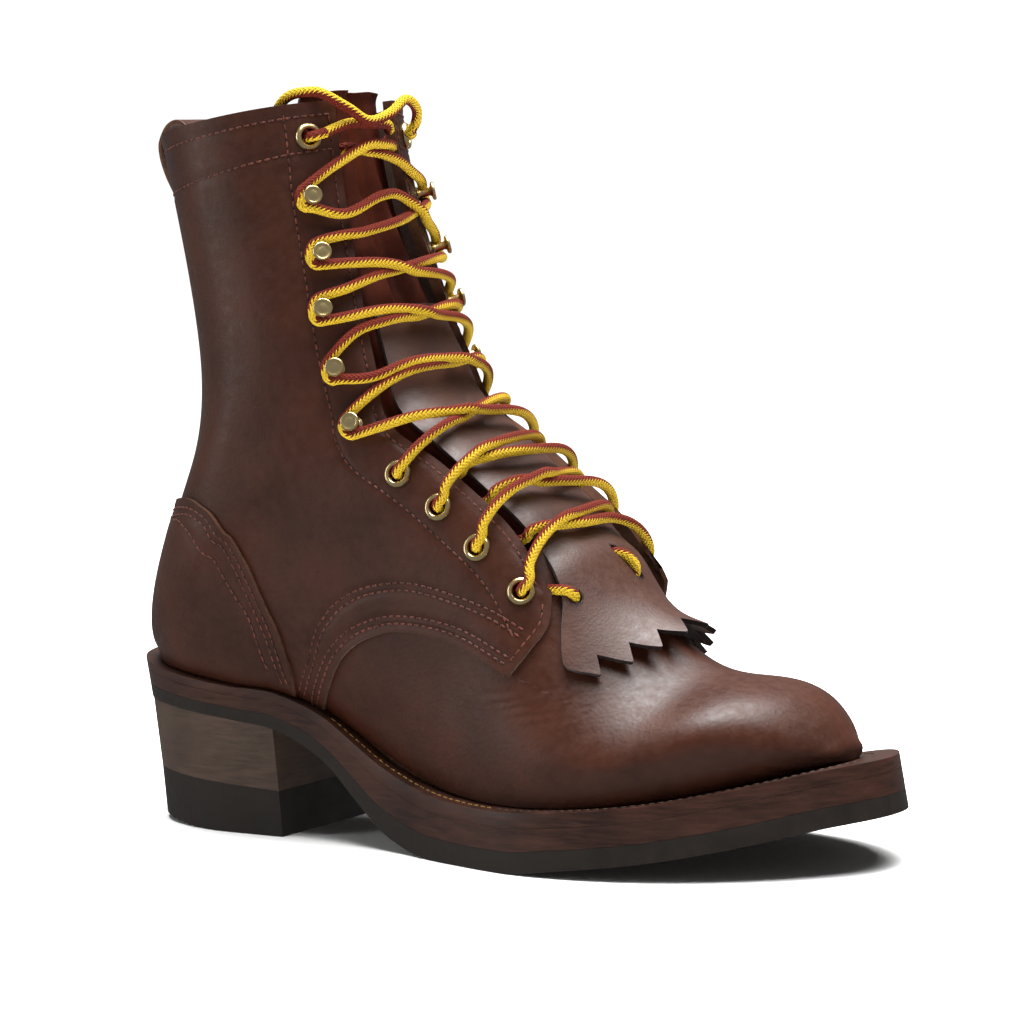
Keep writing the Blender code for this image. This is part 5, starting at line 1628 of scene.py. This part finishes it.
def round_rim(shape, width):
    """Rounds the upper rim of a layer, and leaves its lower rim square to lie on the next one."""
    rim = [edge for edge in shape.edges if {face.material_index for face in edge.link_faces} == {0, 2}]
    bmesh.ops.bevel(shape, geom=rim, offset=width / 1000, offset_type="OFFSET", affect="EDGES", segments=3,
                    profile=0.5, material=-1, clamp_overlap=True)
    return shape


tread = leather_sheet(*TREAD_GRID, sole_layer(0.0, OUTSOLE_SHARE, True))
piece("rubber_outsole", tread, [RUBBER] * 3, ["outsole"])
middle_layer = leather_sheet(*LAYER_GRID, sole_layer(OUTSOLE_SHARE, MIDSOLE_SHARE))
round_edges(piece("leather_midsole", middle_layer, [EDGE] * 3, ["midsole"]), width=0.15)
welt_strip = round_rim(leather_sheet(*LAYER_GRID, sole_layer(MIDSOLE_SHARE, 1.0)), WELT_ROUND)
piece("stitched_welt", welt_strip, [EDGE] * 3, ["welt"])

# %% [markdown]
# A row of thread joins welt and midsole. Its stitches lie on top of the welt, from the waist round the toe:
# golden along the waist, and round the toe the same thread is coloured dark as painted shade, where the row
# lies close in front of the upper.

# %% Welt stitches
WELT_PITCH = 3.2
WELT_STITCH = (2.5, 0.9, 0.0)
# Place of the row between the sole's edge and the upper
WELT_ROW_SHARE = 0.62
# Share of the length where a thread starts and ends
WELT_ROWS = {
    "welt_stitches_waist": (0.40, 0.66, WELT_THREAD),
    # The toe's row takes the darker copy of the thread, painted shade
    "welt_stitches_toe": (0.004, 0.40, WELT_THREAD_PAINTED_SHADE),
}
for name, (first, last, thread) in WELT_ROWS.items():
    welt_stitches = bmesh.new()
    for side, _ in SIDES:
        share = np.linspace(first, last, SEAM_POINTS)
        plan = sole_edge(share, side, WELT_ROW_SHARE * read(FEATHER, 1, share))
        points = np.column_stack([plan, welt_top(plan[:, 0])])
        upright = np.tile([0.0, 0.0, 1.0], (SEAM_POINTS, 1))
        sew(welt_stitches, *even_line(points, upright, WELT_PITCH), *WELT_STITCH)
    piece(name, welt_stitches, [thread, DARK_EDGE_AND_HOLE_SHADE])

# %% [markdown]
# The heel is a block of leather lifts, trimmed as one, on a rubber top piece that meets the floor. It tapers
# downwards, and its back rolls up a little where a foot lands. Both layers use the sole's own outline, set
# back by different amounts, so heel and sole stay flush; a block modelled apart would have to be fitted.

# %% Heel
HEEL_GRID = (90, 4)
# How sharply the heel's back rolls up, and how far past the outline the roll goes on
ROLL_POWER = 1.5
ROLL_LIMIT = 1.2
BREAST_SHARE = 0.5 - BREAST_X / SOLE_LENGTH
# Set-back from the sole's outline at the bottom and at the top of each layer
STACK_SETBACKS = (2.9, 0.9)
LIFT_SETBACKS = (3.9, 2.9)


def lift_top(x):
    return LIFT_HEIGHT + LIFT_RISE * (BREAST_X - x) / (SOLE_LENGTH / 2 + BREAST_X)


def lift_underside(x):
    rear = np.clip((HEEL_FLAT_END - x) / (SOLE_LENGTH / 2 + HEEL_FLAT_END), 0, ROLL_LIMIT)
    return HEEL_ROLL * rear**ROLL_POWER


def stack_bottom(x):
    return lift_top(x) + LAYER_GAP


def stack_top(x):
    return underside(x) - LAYER_GAP


def heel_block(bottom, top, bottom_setback, top_setback):
    """Placing function of a layer of the heel."""
    def place(a, b, level):
        start = turn(BREAST_SHARE)
        share = length_share(start + (1 - start) * a)
        x, y = sole_span(share, bottom_setback + (top_setback - bottom_setback) * level, b)
        return np.stack([x, y, bottom(x) + (top(x) - bottom(x)) * level], -1)
    return place


stack = leather_sheet(*HEEL_GRID, heel_block(stack_bottom, stack_top, *STACK_SETBACKS))
round_edges(piece("heel_stack_leather", stack, [STACK] * 3, ["heel_stack"]), width=0.15)
top_piece = leather_sheet(*HEEL_GRID, heel_block(lift_underside, lift_top, *LIFT_SETBACKS))
round_edges(piece("heel_top_piece", top_piece, [RUBBER] * 3, ["heel_lift"]), width=0.3)

# %% [markdown]
# The insole is the leather floor inside the boot, seen only from above. It is one more layer on the sole's
# outline, set back by the upper's foot and its wall, so that it can't come through the leather.

# %% Insole
INSOLE_GRID = (140, 16)
INSOLE_THICK = 3.0
INSOLE_LIFT = 0.6
INSOLE_MARGIN = 5.2


def insole_place(a, b, level):
    share = length_share(a)
    x, y = sole_span(share, read(FEATHER, 1, share) + WALL + INSOLE_MARGIN, b)
    return np.stack([x, y, welt_top(x) + INSOLE_LIFT + INSOLE_THICK * level], -1)


insole = leather_sheet(*INSOLE_GRID, insole_place)
piece("insole_sheet", insole, [INSOLE_LEATHER] * 3, ["insole"])

# %% [markdown]
# The boot stands on a plain white floor that runs back out of sight. A wide soft light overhead and a big
# softbox give the pale sheen on toe and kiltie, and a weak strip from the left lifts shaft and heel. White
# all round would lay a grey veil on dark leather, so the floor is kept out of reflections, and the surround
# is white only to the camera and dim to everything else.

# %% Floor and light
def studio_floor():
    """Matt white studio paper with a barely visible tooth."""
    material = start_material("white_studio_paper", Roughness=0.95)
    place = add(material, "ShaderNodeTexCoord").outputs["Object"]
    tooth = add(material, "ShaderNodeTexNoise", {"Vector": place, "Scale": per_mm(3.0), "Detail": 3.0})
    tone = add(material, "ShaderNodeMix",
               {0: tooth.outputs["Fac"], 6: colour("#f4f4f3"), 7: colour("#fafafa")}, data_type="RGBA")
    return feed(material, Base_Color=tone.outputs[2])


FLOOR_HALF = 6.0
floor_shape = bmesh.new()
bmesh.ops.create_grid(floor_shape, x_segments=1, y_segments=1, size=FLOOR_HALF)
floor_mesh = bpy.data.meshes.new("studio_floor")
floor_shape.to_mesh(floor_mesh)
floor_shape.free()
floor_mesh.materials.append(studio_floor())
floor = bpy.data.objects.new("studio_floor", floor_mesh)
bpy.context.scene.collection.objects.link(floor)
# The leather doesn't mirror the floor
floor.visible_glossy = False

# Name, place, point it looks at, width and height, power
LIGHTS = [
    ("left_strip", (-1.35, -1.15, 0.55), (-0.02, 0.0, 0.12), (0.5, 1.2), 8.0),
    ("top_softbox", (0.16, 0.13, 1.5), (0.05, 0.0, 0.08), (1.4, 1.4), 60.0),
]
for name, place, target, size, power in LIGHTS:
    lamp = bpy.data.lights.new(name, "AREA")
    lamp.shape = "RECTANGLE"
    lamp.size, lamp.size_y = size
    lamp.energy = power
    holder = bpy.data.objects.new(name, lamp)
    holder.location = place
    holder.rotation_euler = (Vector(place) - Vector(target)).to_track_quat("Z", "Y").to_euler()
    bpy.context.scene.collection.objects.link(holder)

SKYLIGHT_FROM = (-0.03, 0.06, 1.0)
SKYLIGHT_STRENGTH = 3.9
SKYLIGHT_WIDTH = np.radians(32)
skylight = bpy.data.lights.new("overhead_scrim", "SUN")
skylight.energy = SKYLIGHT_STRENGTH
skylight.angle = SKYLIGHT_WIDTH
scrim = bpy.data.objects.new("overhead_scrim", skylight)
scrim.rotation_euler = Vector(SKYLIGHT_FROM).to_track_quat("Z", "Y").to_euler()
bpy.context.scene.collection.objects.link(scrim)

# Brightness of the surround as fill light and, added to it, in reflections
SKY_FILL = 0.07
SKY_MIRRORED = 0.18
surround = bpy.data.worlds.new("studio_surround")
surround.use_nodes = True
sky = surround.node_tree.nodes["Background"]
sky.inputs["Color"].default_value = (1.0, 1.0, 1.0, 1.0)
seen = add(surround, "ShaderNodeLightPath")
mirrored = add(surround, "ShaderNodeMath", {0: seen.outputs["Is Glossy Ray"], 1: SKY_MIRRORED, 2: SKY_FILL},
               operation="MULTIPLY_ADD")
shown = add(surround, "ShaderNodeMath", {0: seen.outputs["Is Camera Ray"], 1: 1.0, 2: mirrored.outputs[0]},
            operation="MULTIPLY_ADD")
surround.node_tree.links.new(shown.outputs[0], sky.inputs["Strength"])
bpy.context.scene.world = surround
bpy.context.scene.view_settings.view_transform = "Standard"
print("lights:", len(LIGHTS) + 1)
